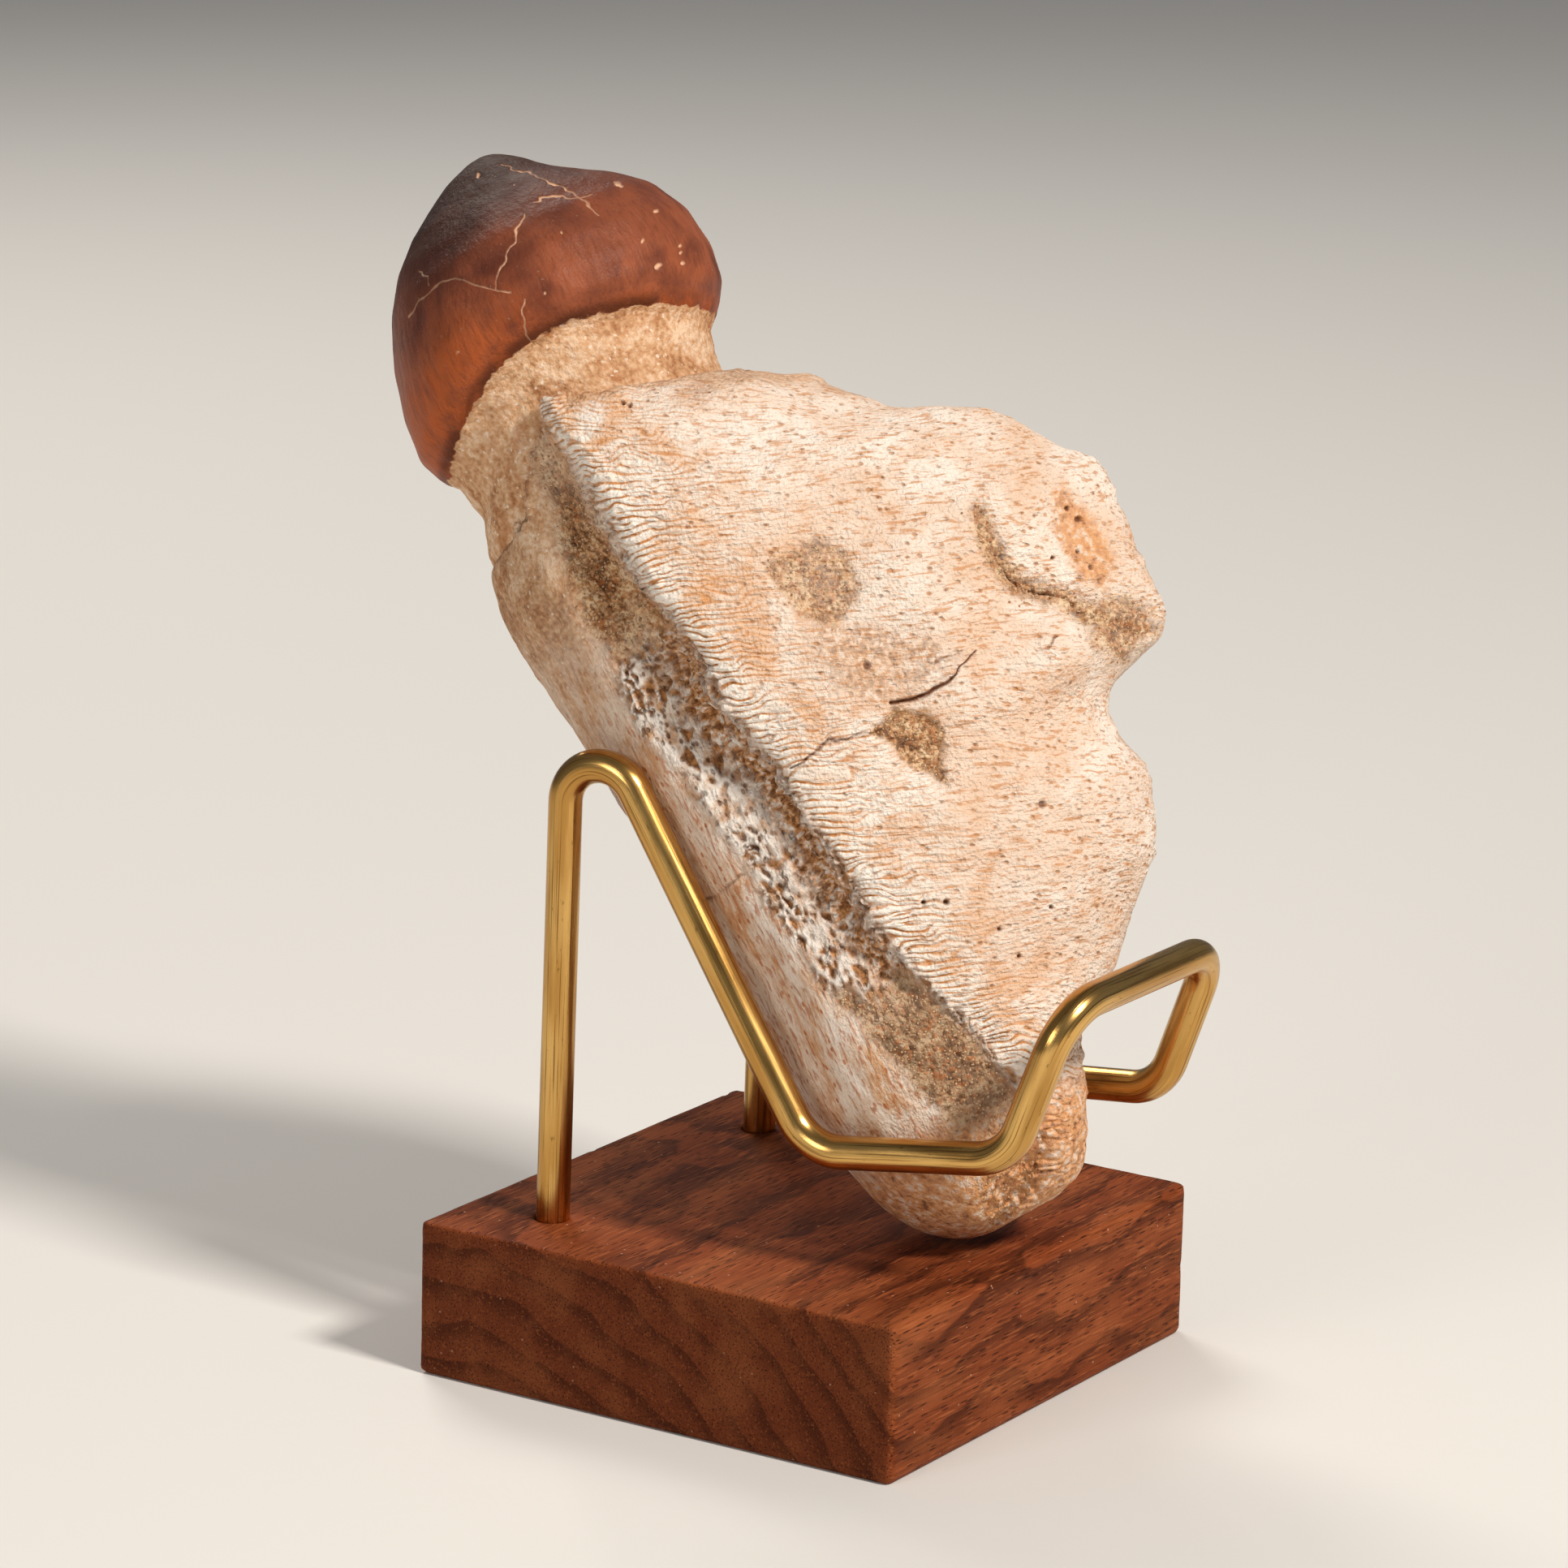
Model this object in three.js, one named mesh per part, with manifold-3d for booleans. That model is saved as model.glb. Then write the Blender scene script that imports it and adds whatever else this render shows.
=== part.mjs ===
// Fossil mosasaur jaw fragment with one crushing tooth, leaning in a bent brass rod on a walnut block.
// Millimetres, +Z up. The origin is the middle of the block's underside, and the stand faces -Y.

import * as THREE from "three";
import { mergeVertices } from "three/addons/utils/BufferGeometryUtils.js";
import Module from "manifold-3d";

const wasm = await Module();
wasm.setup();

// Driving dimensions

const BLOCK = { width: 51, depth: 49.5, height: 14, cornerRadius: 0.6, wornCornerRadius: 1.6, edgeBevel: 0.3 };

// The rod lies mirrored about x = middle. A corner is where the centre lines of two straights would
// meet: half is its distance from the middle plane, bend is the centre line radius of the bend there.
const ROD = {
  diameter: 3,
  sides: 12,
  middle: -0.8,
  foot: { half: 16.8, y: 16, z: 14 },
  top: { half: 16.7, y: 15, z: 65, bend: 3.7 },
  knee: { half: 14.7, y: -9.5, z: 24.4, bend: 5 },
  toe: { half: 13.1, y: -28.5, z: 26.8, bend: 5 },
  lip: { half: 12.75, y: -33.5, z: 40.8, bend: 4.6 },
  arcStep: THREE.MathUtils.degToRad(15),
};
const SOCKET_HOLE = { depth: 10, sides: 24 };
const FIT_GAP = 0.3;

// The jaw has a frame of its own, set at the middle of the rod's two knees: z runs up along the
// fragment, x runs across its broad face, and -y comes out of that face.
const JAW_POSE = {
  lean: THREE.MathUtils.degToRad(31),
  turn: THREE.MathUtils.degToRad(55.1),
};

// Outlines of the jaw seen square on to the broad face, as [height along the jaw, place across].
const LEFT_SIDE = [
  [-13.1, 2.6],
  [-12.5, 0.8],
  [-10.6, -2.3],
  [-8.4, -4.1],
  [-4.1, -5.9],
  [1.5, -6.6],
  [14, -8.2],
  [25, -9.6],
  [40, -11.9],
  [50, -13.2],
  [55, -13.3],
  [59, -12.7],
  [66, -12.6],
];
const RIGHT_SIDE = [
  [-13.1, 3.6],
  [-12.8, 6.5],
  [-12, 11.2],
  [-10.7, 13.2],
  [-8.5, 14.3],
  [-5.9, 15.6],
  [0, 17.6],
  [3.9, 22.8],
  [8.8, 27],
  [12, 30.6],
  [16, 31.9],
  [19, 32.7],
  [22.5, 31.5],
  [25.2, 31.6],
  [27, 33.6],
  [27.8, 37.4],
  [28.8, 39.3],
  [30.6, 39.7],
  [34.8, 39.6],
  [42.6, 40.2],
  [45.2, 39.7],
  [47.3, 37.2],
  [51.6, 34.3],
  [54.6, 30],
  [56.2, 25.6],
  [58.6, 23.2],
  [60.6, 20.9],
  [62.2, 19.8],
  [64.2, 15.6],
  [69.4, 13],
];
const CREST = [
  [-13.1, 3.1],
  [-11, 8],
  [-7, 10.8],
  [-0.7, 10.5],
  [4.9, 8.6],
  [11.4, 6.2],
  [16.7, 4.8],
  [24, 4],
  [30.7, 3.1],
  [38, 1],
  [45, 1],
  [52.5, -0.1],
  [60.5, -0.7],
  [69.4, -2.4],
];
const BAND_EDGE = [
  [-13.1, 3],
  [-11, 2.5],
  [-7, 4.4],
  [-1.6, 3.2],
  [4.6, 1],
  [14.6, -1.8],
  [25.4, -3.4],
  [34, -5],
  [39.5, -6.7],
  [45, -6.6],
  [52, -6.9],
  [59.4, -5.6],
  [69.4, -4.6],
];

// Depths of the jaw along its height, measured out of the broad face from the middle of the jaw.
const CREST_DEPTH = [
  [-13.1, 3.4],
  [-12.6, 5.4],
  [-10, 9.6],
  [-6, 12.6],
  [0, 14.6],
  [10, 16.6],
  [25, 18.4],
  [45, 19.2],
  [60, 18.8],
  [66, 17.6],
  [69.4, 15.6],
];
const CORE_DEPTH = [
  [-13.1, 3],
  [0, 4],
  [25, 3.6],
  [45, 2.5],
  [69.4, 2.1],
];
const FAR_DEPTH = [
  [-13.1, 2.2],
  [-12.4, 0.2],
  [-10.5, -2.4],
  [-8, -5],
  [-2, -8],
  [10, -9.1],
  [25, -9.9],
  [37, -10.3],
  [48, -12],
  [58, -13],
  [66, -12.6],
];
const RIM_CENTRE = { across: 0.5, depth: 2, height: 63.5 };

// The tooth stands in the jaw's frame. Each outline runs from the tip to the root's seat, as
// [height along the jaw, distance from the tooth's axis].
const TOOTH_AXIS = { across: 0.5, depth: 2.1, tipShift: 1 };
const TOOTH_RIGHT = [
  [92.5, 0],
  [92, 1.4],
  [90.8, 3.1],
  [89, 5.2],
  [87.3, 8],
  [85.9, 10.4],
  [83.7, 13],
  [80.5, 15],
  [76.8, 15.9],
  [73.5, 15.7],
  [71.2, 14.4],
  [70.2, 13.2],
  [67.6, 12.4],
  [65.4, 12.3],
];
const TOOTH_LEFT = [
  [92.5, 0],
  [92.2, 1.7],
  [91.3, 4],
  [89.9, 6.2],
  [87.9, 8.9],
  [85.4, 11.3],
  [82.2, 13.1],
  [78, 14.4],
  [73.4, 15.2],
  [69.6, 15.3],
  [67.4, 14.3],
  [66.2, 13.1],
  [63, 12.2],
  [59.5, 12.7],
];
const TOOTH_NEAR = [
  [92.5, 0],
  [92, 1.6],
  [90.9, 3.6],
  [89.3, 5.8],
  [87.5, 8.5],
  [85.6, 11],
  [83.4, 13.3],
  [80.7, 15],
  [77.8, 15.8],
  [75.5, 15.5],
  [74.2, 14.3],
  [73.4, 13.1],
  [70, 12.4],
  [65, 12.2],
];
const TOOTH_FAR = [
  [92.5, 0],
  [92.1, 1.5],
  [91, 3.4],
  [89.4, 5.6],
  [87.4, 8.4],
  [85.3, 10.9],
  [82.5, 13.1],
  [78.5, 14.7],
  [74.4, 15.6],
  [70.8, 15.4],
  [68.8, 14.3],
  [67.6, 13.1],
  [65, 12.3],
  [62.5, 12.4],
];
const SEAT = { height: 61, rise: 0.2 };
const ROOT = { radius: 8.6, shoulder: 57, taperHeight: 51, tipRadius: 5.6, tipHeight: 48.6 };
const TOOTH_SIDES = 44;

// Colours of the finishes
const WALNUT = new THREE.MeshStandardMaterial({ color: 0x6b432f, roughness: 0.62, metalness: 0 });
const BRASS = new THREE.MeshStandardMaterial({ color: 0xb08d3e, roughness: 0.34, metalness: 1 });
const BONE = new THREE.MeshStandardMaterial({ color: 0xe6cfae, roughness: 0.85, metalness: 0 });
const ENAMEL = new THREE.MeshStandardMaterial({ color: 0x7a4534, roughness: 0.36, metalness: 0 });

// Helpers

// Value of a smooth curve through [position, value] pairs, held level past both ends.
function valueAt(pairs, position) {
  const last = pairs.length - 1;
  if (position <= pairs[0][0]) return pairs[0][1];
  if (position >= pairs[last][0]) return pairs[last][1];
  const after = pairs.findIndex(([start]) => start > position);
  const [x0, y0] = pairs[after - 1];
  const [x1, y1] = pairs[after];
  const span = x1 - x0;
  const t = (position - x0) / span;
  const slope0 = limitedSlope(pairs, after - 1) * span;
  const slope1 = limitedSlope(pairs, after) * span;
  const t2 = t * t;
  const t3 = t2 * t;
  return y0 * (2 * t3 - 3 * t2 + 1) + slope0 * (t3 - 2 * t2 + t) + y1 * (3 * t2 - 2 * t3) + slope1 * (t3 - t2);
}

// Slope at one pair that never makes the curve overshoot its points.
function limitedSlope(pairs, index) {
  if (index === 0 || index === pairs.length - 1) return 0;
  const before = (pairs[index][1] - pairs[index - 1][1]) / (pairs[index][0] - pairs[index - 1][0]);
  const after = (pairs[index + 1][1] - pairs[index][1]) / (pairs[index + 1][0] - pairs[index][0]);
  return before * after <= 0 ? 0 : (2 * before * after) / (before + after);
}

// Closed surface over rings of equal length, with one pole point below the first and above the last.
function surfaceOfRings(rings, bottomPole, topPole) {
  const sides = rings[0].length;
  const points = [bottomPole, ...rings.flat(), topPole];
  const top = points.length - 1;
  const faces = [];
  const at = (ring, side) => 1 + ring * sides + (side % sides);
  for (let side = 0; side < sides; side += 1) {
    faces.push(0, at(0, side + 1), at(0, side));
    faces.push(top, at(rings.length - 1, side), at(rings.length - 1, side + 1));
    for (let ring = 0; ring < rings.length - 1; ring += 1) {
      faces.push(at(ring, side), at(ring, side + 1), at(ring + 1, side + 1));
      faces.push(at(ring, side), at(ring + 1, side + 1), at(ring + 1, side));
    }
  }
  const geometry = new THREE.BufferGeometry().setFromPoints(points);
  geometry.setIndex(faces);
  return geometry;
}

function toSolid(geometry) {
  const bare = new THREE.BufferGeometry();
  bare.setAttribute("position", geometry.getAttribute("position").clone());
  bare.setIndex(geometry.index);
  const merged = mergeVertices(bare, 1e-4);
  return new wasm.Manifold(
    new wasm.Mesh({
      numProp: 3,
      vertProperties: new Float32Array(merged.attributes.position.array),
      triVerts: new Uint32Array(merged.index.array),
    }),
  );
}

function toGeometry(solid) {
  const mesh = solid.getMesh();
  const geometry = new THREE.BufferGeometry();
  geometry.setAttribute("position", new THREE.BufferAttribute(mesh.vertProperties, 3));
  geometry.setIndex(new THREE.BufferAttribute(mesh.triVerts, 1));
  geometry.computeVertexNormals();
  return geometry;
}

function namedMesh(name, geometry, material) {
  const mesh = new THREE.Mesh(geometry, material);
  mesh.name = name;
  return mesh;
}

// Brass rod

function cornerPoint({ half, y, z }, side) {
  return new THREE.Vector3(side * half, y, z);
}

// Points of the arc that rounds one corner of the rod's centre line.
function bendPoints(before, corner, after, radius) {
  const back = before.clone().sub(corner).normalize();
  const ahead = after.clone().sub(corner).normalize();
  const halfAngle = back.angleTo(ahead) / 2;
  const centre = back.clone().add(ahead).normalize();
  centre.multiplyScalar(radius / Math.sin(halfAngle)).add(corner);
  const start = corner.clone().addScaledVector(back, radius / Math.tan(halfAngle)).sub(centre);
  const end = corner.clone().addScaledVector(ahead, radius / Math.tan(halfAngle)).sub(centre);
  const turn = start.angleTo(end);
  const axis = start.clone().cross(end).normalize();
  const steps = Math.max(3, Math.round(turn / ROD.arcStep));
  return Array.from({ length: steps + 1 }, (_, i) =>
    start.clone().applyAxisAngle(axis, (turn * i) / steps).add(centre),
  );
}

function rodCentreLine() {
  const { foot, top, knee, toe, lip } = ROD;
  const footInHole = { ...foot, z: BLOCK.height - SOCKET_HOLE.depth + FIT_GAP };
  const bends = [top, knee, toe, lip];
  const stops = [
    { point: cornerPoint(footInHole, -1) },
    ...bends.map((corner) => ({ point: cornerPoint(corner, -1), bend: corner.bend })),
    ...bends.toReversed().map((corner) => ({ point: cornerPoint(corner, 1), bend: corner.bend })),
    { point: cornerPoint(footInHole, 1) },
  ];
  return stops.flatMap(({ point, bend }, i) =>
    bend === undefined ? [point] : bendPoints(stops[i - 1].point, point, stops[i + 1].point, bend),
  );
}

// A path that stops at exactly the given points, so that straights need no extra rings.
class PointPath extends THREE.Curve {
  constructor(points) {
    super();
    this.points = points;
  }

  getPoint(t, target = new THREE.Vector3()) {
    const place = t * (this.points.length - 1);
    const index = Math.min(Math.floor(place), this.points.length - 2);
    return target.lerpVectors(this.points[index], this.points[index + 1], place - index);
  }

  getPointAt(t, target) {
    return this.getPoint(t, target);
  }

  getTangentAt(t, target = new THREE.Vector3()) {
    const index = Math.round(t * (this.points.length - 1));
    const before = this.points[Math.max(index - 1, 0)];
    const here = this.points[index];
    const after = this.points[Math.min(index + 1, this.points.length - 1)];
    const arriving = here.clone().sub(before).normalize();
    const leaving = after.clone().sub(here).normalize();
    return target.addVectors(arriving, leaving).normalize();
  }
}

function makeRod() {
  const section = new THREE.Shape();
  section.absarc(0, 0, ROD.diameter / 2, 0, 2 * Math.PI, false);
  const points = rodCentreLine();
  const geometry = new THREE.ExtrudeGeometry(section, {
    steps: points.length - 1,
    curveSegments: ROD.sides / 2,
    extrudePath: new PointPath(points),
  });
  return toGeometry(toSolid(geometry));
}

// Walnut block with the two blind holes that hold the rod's ends

function blockOutline() {
  const { width, depth, cornerRadius, wornCornerRadius, edgeBevel } = BLOCK;
  const x = width / 2 - edgeBevel;
  const y = depth / 2 - edgeBevel;
  const small = cornerRadius - edgeBevel;
  const worn = wornCornerRadius - edgeBevel;
  const outline = new THREE.Shape();
  outline.absarc(-x + small, -y + small, small, Math.PI, 1.5 * Math.PI, false);
  outline.absarc(x - worn, -y + worn, worn, 1.5 * Math.PI, 2 * Math.PI, false);
  outline.absarc(x - small, y - small, small, 0, 0.5 * Math.PI, false);
  outline.absarc(-x + small, y - small, small, 0.5 * Math.PI, Math.PI, false);
  return outline;
}

function makeBlock() {
  const { height, edgeBevel } = BLOCK;
  const body = new THREE.ExtrudeGeometry(blockOutline(), {
    depth: height - 2 * edgeBevel,
    bevelThickness: edgeBevel,
    bevelSize: edgeBevel,
    bevelSegments: 2,
    curveSegments: 5,
  });
  body.translate(0, 0, edgeBevel);
  const holeRadius = ROD.diameter / 2 + FIT_GAP;
  const overshoot = 1;
  let block = toSolid(body);
  for (const side of [-1, 1]) {
    const hole = new THREE.CylinderGeometry(
      holeRadius,
      holeRadius,
      SOCKET_HOLE.depth + overshoot,
      SOCKET_HOLE.sides,
    );
    hole.rotateX(Math.PI / 2);
    hole.translate(
      ROD.middle + side * ROD.foot.half,
      ROD.foot.y,
      height + (overshoot - SOCKET_HOLE.depth) / 2,
    );
    block = block.subtract(toSolid(hole));
  }
  return toGeometry(block);
}

// Jaw fragment

// Lines that run along the jaw, in order round it: across and depth are functions of height, top is
// where the line ends at the tooth's rim, and faces is how many facets follow before the next line.
const JAW_LINES = [
  { top: 58.3, faces: 3, across: (h) => left(h), depth: (h) => core(h) },
  {
    top: 59.5,
    faces: 3,
    across: (h) => bellyMiddle(h) - bellyRadius(h) * Math.cos(stripAngle(h) / 2),
    depth: (h) => core(h) + bellyRadius(h) * Math.sin(stripAngle(h) / 2),
  },
  { top: 66, faces: 2, across: (h) => bandEdge(h), depth: (h) => bandEdgeDepth(h) },
  { top: 68.2, faces: 2, across: (h) => bandFloor(h), depth: (h) => bandFloorDepth(h) },
  { top: 69.4, faces: 3, across: (h) => crest(h), depth: (h) => crestDepth(h) },
  { top: 68, faces: 6, across: (h) => acrossFace(h, 0.14), depth: (h) => crestDepth(h) + 0.5 },
  { top: 66.6, faces: 6, across: (h) => acrossFace(h, 0.48), depth: (h) => faceDepth(h, 0.1) },
  { top: 65.4, faces: 5, across: (h) => acrossFace(h, 0.82), depth: (h) => faceDepth(h, 0.42) },
  { top: 64.8, faces: 4, across: (h) => right(h), depth: (h) => faceDepth(h, 0.86) },
  { top: 64.4, faces: 4, across: (h) => acrossFar(h, 0.84), depth: (h) => farPlateDepth(h, 0.62) },
  { top: 63.4, faces: 5, across: (h) => acrossFar(h, 0.5), depth: (h) => farPlateDepth(h, 0.96) },
  { top: 61.5, faces: 4, across: (h) => acrossFar(h, 0.06), depth: (h) => far(h) - 0.6 },
  {
    top: 59.4,
    faces: 4,
    across: (h) => bellyMiddle(h) - bellyRadius(h) * 0.68,
    depth: (h) => core(h) - (core(h) - far(h)) * 0.76,
  },
];
const JAW_BOTTOM = -13.1;
const RIM_START = 50;
const JAW_LEVELS = {
  foot: [-13, -12.75, -12.3, -11.6, -10.6],
  firstEven: -9.2,
  step: 1.8,
};

const left = (h) => valueAt(LEFT_SIDE, h);
const right = (h) => valueAt(RIGHT_SIDE, h);
const crest = (h) => valueAt(CREST, h);
const bandEdge = (h) => valueAt(BAND_EDGE, h);
const crestDepth = (h) => valueAt(CREST_DEPTH, h);
const core = (h) => valueAt(CORE_DEPTH, h);
const far = (h) => valueAt(FAR_DEPTH, h);

// The back of the jaw is a rounded belly about the tooth's root, which rests between the rods.
const bellyRadius = (h) => Math.min(0.5 * (right(h) - left(h)), 12.4 + 1.6 * Math.sin((Math.PI * h) / 90));
const bellyMiddle = (h) => left(h) + bellyRadius(h);
const bandEdgeDepth = (h) => core(h) + Math.max(bellyRadius(h) * Math.sin(stripAngle(h)), 0);
const bandFloor = (h) => crest(h) - 0.42 * (crest(h) - bandEdge(h));
const bandFloorDepth = (h) => bandEdgeDepth(h) + 0.3 * (crestDepth(h) - bandEdgeDepth(h)) - 0.4;
const acrossFace = (h, share) => crest(h) + share * (right(h) - crest(h));
const faceDepth = (h, share) => crestDepth(h) + share * (core(h) - crestDepth(h));
const acrossFar = (h, share) => bellyMiddle(h) + share * (right(h) - bellyMiddle(h));
const farPlateDepth = (h, share) => core(h) + share * (far(h) - core(h));

function stripAngle(h) {
  const reach = (bellyMiddle(h) - bandEdge(h)) / bellyRadius(h);
  return Math.acos(THREE.MathUtils.clamp(reach, 0.1, 0.98));
}

// Local forms of the surface: a rise or hollow of the given height, round about one place.
const FACE_FORMS = [
  { across: 12.1, height: 44.4, radius: 3.6, rise: -0.6 },
  { across: 15, height: 36.4, radius: 3, rise: -0.7 },
  { across: 15, height: 28, radius: 2.8, rise: -1 },
  { across: 22.4, height: 18.9, radius: 1, rise: -0.8 },
  { across: 8, height: 56, radius: 7, rise: 0.7 },
  { across: 22, height: 41, radius: 5, rise: 0.8 },
  { across: 10, height: 34, radius: 4.5, rise: 0.5 },
  { across: 20, height: 23, radius: 6, rise: 0.6 },
  { across: 35.8, height: 39.5, radius: 2.8, rise: -1 },
  { across: 31, height: 44.5, radius: 3, rise: 0.7 },
  { across: 29.5, height: 31.2, radius: 2.2, rise: 1 },
  { across: 4.4, height: 4.5, radius: 3.4, rise: 1.1 },
  { across: -1.5, height: 33, radius: 3, rise: -0.8 },
  { across: 26, height: 10, radius: 4, rise: -0.6 },
];
const FAR_FORMS = [
  { across: 22, height: 47, radius: 6, rise: -1.6 },
  { across: 27, height: 36, radius: 5, rise: 1.2 },
  { across: 20, height: 24, radius: 6, rise: -1.2 },
  { across: 12, height: 54, radius: 5, rise: 1 },
  { across: 24, height: 14, radius: 4, rise: 0.9 },
];

// The broken step across the upper right: the bone drops by its depth on the low side of the line.
const STEP_LINE = { from: [26.5, 41.5], to: [39.5, 30], drop: 2.2, width: 3.6 };

function sumOfForms(forms, across, height) {
  return forms.reduce((sum, form) => {
    const distance = Math.hypot(across - form.across, height - form.height) / form.radius;
    return sum + form.rise * Math.exp(-distance * distance);
  }, 0);
}

function stepDrop(across, height) {
  const [x0, z0] = STEP_LINE.from;
  const [x1, z1] = STEP_LINE.to;
  const length = Math.hypot(x1 - x0, z1 - z0);
  const along = ((across - x0) * (x1 - x0) + (height - z0) * (z1 - z0)) / length;
  const below = ((across - x0) * (z1 - z0) - (height - z0) * (x1 - x0)) / length;
  const fade = THREE.MathUtils.smoothstep(along, 0, 5);
  const side = THREE.MathUtils.smoothstep(below, -STEP_LINE.width / 2, STEP_LINE.width / 2);
  const recovery = Math.exp(-Math.max(below, 0) / 5);
  return -STEP_LINE.drop * fade * side * recovery;
}

// Uneven lumps of a broken surface, from a few crossed waves.
function lumps(p) {
  const waves = [
    [0.62, 0.31, 0.44, 0.9],
    [-0.38, 0.71, 0.52, 2.1],
    [0.93, -0.52, 0.88, 4.2],
    [-1.02, 0.77, 1.21, 0.4],
  ];
  return waves.reduce((sum, [x, y, z, shift], i) => {
    const wave = Math.sin(x * p.x + y * p.y + z * p.z + shift + Math.sin(0.35 * p.z + i));
    return sum + wave / (1.6 + i);
  }, 0);
}

function surfaceRise(point, normal) {
  const outOfFace = THREE.MathUtils.smoothstep(-normal.y, 0.1, 0.6);
  const onFar = THREE.MathUtils.smoothstep(normal.y, 0.1, 0.6);
  const awayFromRods = THREE.MathUtils.smoothstep(point.x, 12, 17);
  const nearForms = sumOfForms(FACE_FORMS, point.x, point.z) + stepDrop(point.x, point.z);
  const farForms = sumOfForms(FAR_FORMS, point.x, point.z) * awayFromRods;
  const roughness = 0.16 + 0.3 * onFar * awayFromRods;
  return nearForms * outOfFace + farForms * onFar + roughness * lumps(point);
}

function jawRing(height) {
  const knots = JAW_LINES.map(({ top, across, depth }) => {
    const lift = Math.max(height - RIM_START, 0) / (69.4 - RIM_START);
    const h = Math.min(height, RIM_START) + lift * (top - RIM_START);
    return new THREE.Vector3(across(h), -depth(h), h);
  });
  const loop = new THREE.CatmullRomCurve3(knots, true, "centripetal");
  return JAW_LINES.flatMap(({ faces }, line) =>
    Array.from({ length: faces }, (_, face) => loop.getPoint((line + face / faces) / JAW_LINES.length)),
  );
}

function jawLevels() {
  const { foot, firstEven, step } = JAW_LEVELS;
  const evenCount = Math.round((69.4 - firstEven) / step);
  const evenStep = (69.4 - firstEven) / evenCount;
  return [...foot, ...Array.from({ length: evenCount + 1 }, (_, i) => firstEven + i * evenStep)];
}

function jawForm() {
  const rings = jawLevels().map(jawRing);
  const bottom = new THREE.Vector3(3.1, -3, JAW_BOTTOM);
  const top = new THREE.Vector3(RIM_CENTRE.across, -RIM_CENTRE.depth, RIM_CENTRE.height);
  const geometry = surfaceOfRings(rings, bottom, top);
  geometry.computeVertexNormals();
  const position = geometry.getAttribute("position");
  const normals = geometry.getAttribute("normal");
  for (let i = 0; i < position.count; i += 1) {
    const point = new THREE.Vector3().fromBufferAttribute(position, i);
    const normal = new THREE.Vector3().fromBufferAttribute(normals, i);
    point.addScaledVector(normal, surfaceRise(point, normal));
    position.setXYZ(i, point.x, point.y, point.z);
  }
  return geometry;
}

// Tooth: crown and root in one, with a peg that stands in a socket of the jaw

// Mix of the four outlines at one angle about the axis, from the right (0) past the far side.
function toothRing(index, angle, grow) {
  const toRight = Math.max(Math.cos(angle), 0) ** 2;
  const toLeft = Math.max(-Math.cos(angle), 0) ** 2;
  const toFar = Math.max(Math.sin(angle), 0) ** 2;
  const toNear = Math.max(-Math.sin(angle), 0) ** 2;
  const mixOf = (part) =>
    toRight * TOOTH_RIGHT[index][part] +
    toLeft * TOOTH_LEFT[index][part] +
    toFar * TOOTH_FAR[index][part] +
    toNear * TOOTH_NEAR[index][part];
  return { height: mixOf(0), radius: mixOf(1) + grow };
}

function toothPoint(radius, height, angle) {
  const crownShare = THREE.MathUtils.smoothstep(height, 70, 91);
  return new THREE.Vector3(
    TOOTH_AXIS.across + TOOTH_AXIS.tipShift * crownShare + radius * Math.cos(angle),
    -TOOTH_AXIS.depth + radius * Math.sin(angle),
    height,
  );
}

function seatPoint(radius, angle, grow) {
  const height = SEAT.height - grow + SEAT.rise * radius * Math.cos(angle);
  return toothPoint(radius, height, angle);
}

// The peg below the seat, as rings from its tip up to the seat.
function pegRings(angles, grow) {
  const stops = [
    [ROOT.tipRadius + grow, ROOT.tipHeight - grow],
    [ROOT.radius + grow, ROOT.taperHeight],
    [ROOT.radius + grow, ROOT.shoulder],
  ];
  const sides = stops.map(([radius, height]) => angles.map((angle) => toothPoint(radius, height, angle)));
  return [...sides, angles.map((angle) => seatPoint(ROOT.radius + grow, angle, grow))];
}

function toothForm(grow = 0) {
  const angles = Array.from({ length: TOOTH_SIDES }, (_, i) => (2 * Math.PI * i) / TOOTH_SIDES);
  const last = TOOTH_RIGHT.length - 1;
  const seatEdge = angles.map((angle) => seatPoint(toothRing(last, angle, grow).radius, angle, grow));
  const rows = [];
  for (let index = last; index > 0; index -= 1) {
    rows.push(
      angles.map((angle) => {
        const { height, radius } = toothRing(index, angle, grow);
        return toothPoint(radius, height, angle);
      }),
    );
  }
  const bottom = toothPoint(0, ROOT.tipHeight - grow - 0.8, 0);
  const top = toothPoint(0, TOOTH_RIGHT[0][0] + grow, 0);
  return surfaceOfRings([...pegRings(angles, grow), seatEdge, ...rows], bottom, top);
}

function makeTooth() {
  return toGeometry(toSolid(toothForm()));
}

function makeJaw() {
  return toGeometry(toSolid(jawForm()).subtract(toSolid(toothForm(FIT_GAP))));
}

// Assembly

const stand = new THREE.Group();
stand.add(namedMesh("walnut_block", makeBlock(), WALNUT));

const rod = namedMesh("brass_rod_stand", makeRod(), BRASS);
rod.position.x = ROD.middle;
stand.add(rod);

const jaw = new THREE.Group();
jaw.position.set(ROD.middle, ROD.knee.y, ROD.knee.z);
jaw.rotation.set(-JAW_POSE.lean, 0, -JAW_POSE.turn);
jaw.add(namedMesh("jaw_bone", makeJaw(), BONE));
jaw.add(namedMesh("tooth", makeTooth(), ENAMEL));

const fossil = new THREE.Group();
fossil.add(stand, jaw);

export default fossil;
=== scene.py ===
"""Fossil mosasaur jaw fragment with one crushing tooth, leaning in a bent brass rod on a walnut block.

Lengths are in millimetres unless a name says otherwise, and are turned into metres on the way into
Blender. The jaw and its tooth are worked in the jaw's own frame: across its broad face, out of that
face, and up along the fragment.
"""

import logging
import math
from dataclasses import dataclass, field
from enum import Enum
from itertools import product

import bmesh
import bpy
import numpy as np
from mathutils import Matrix, Vector

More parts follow.
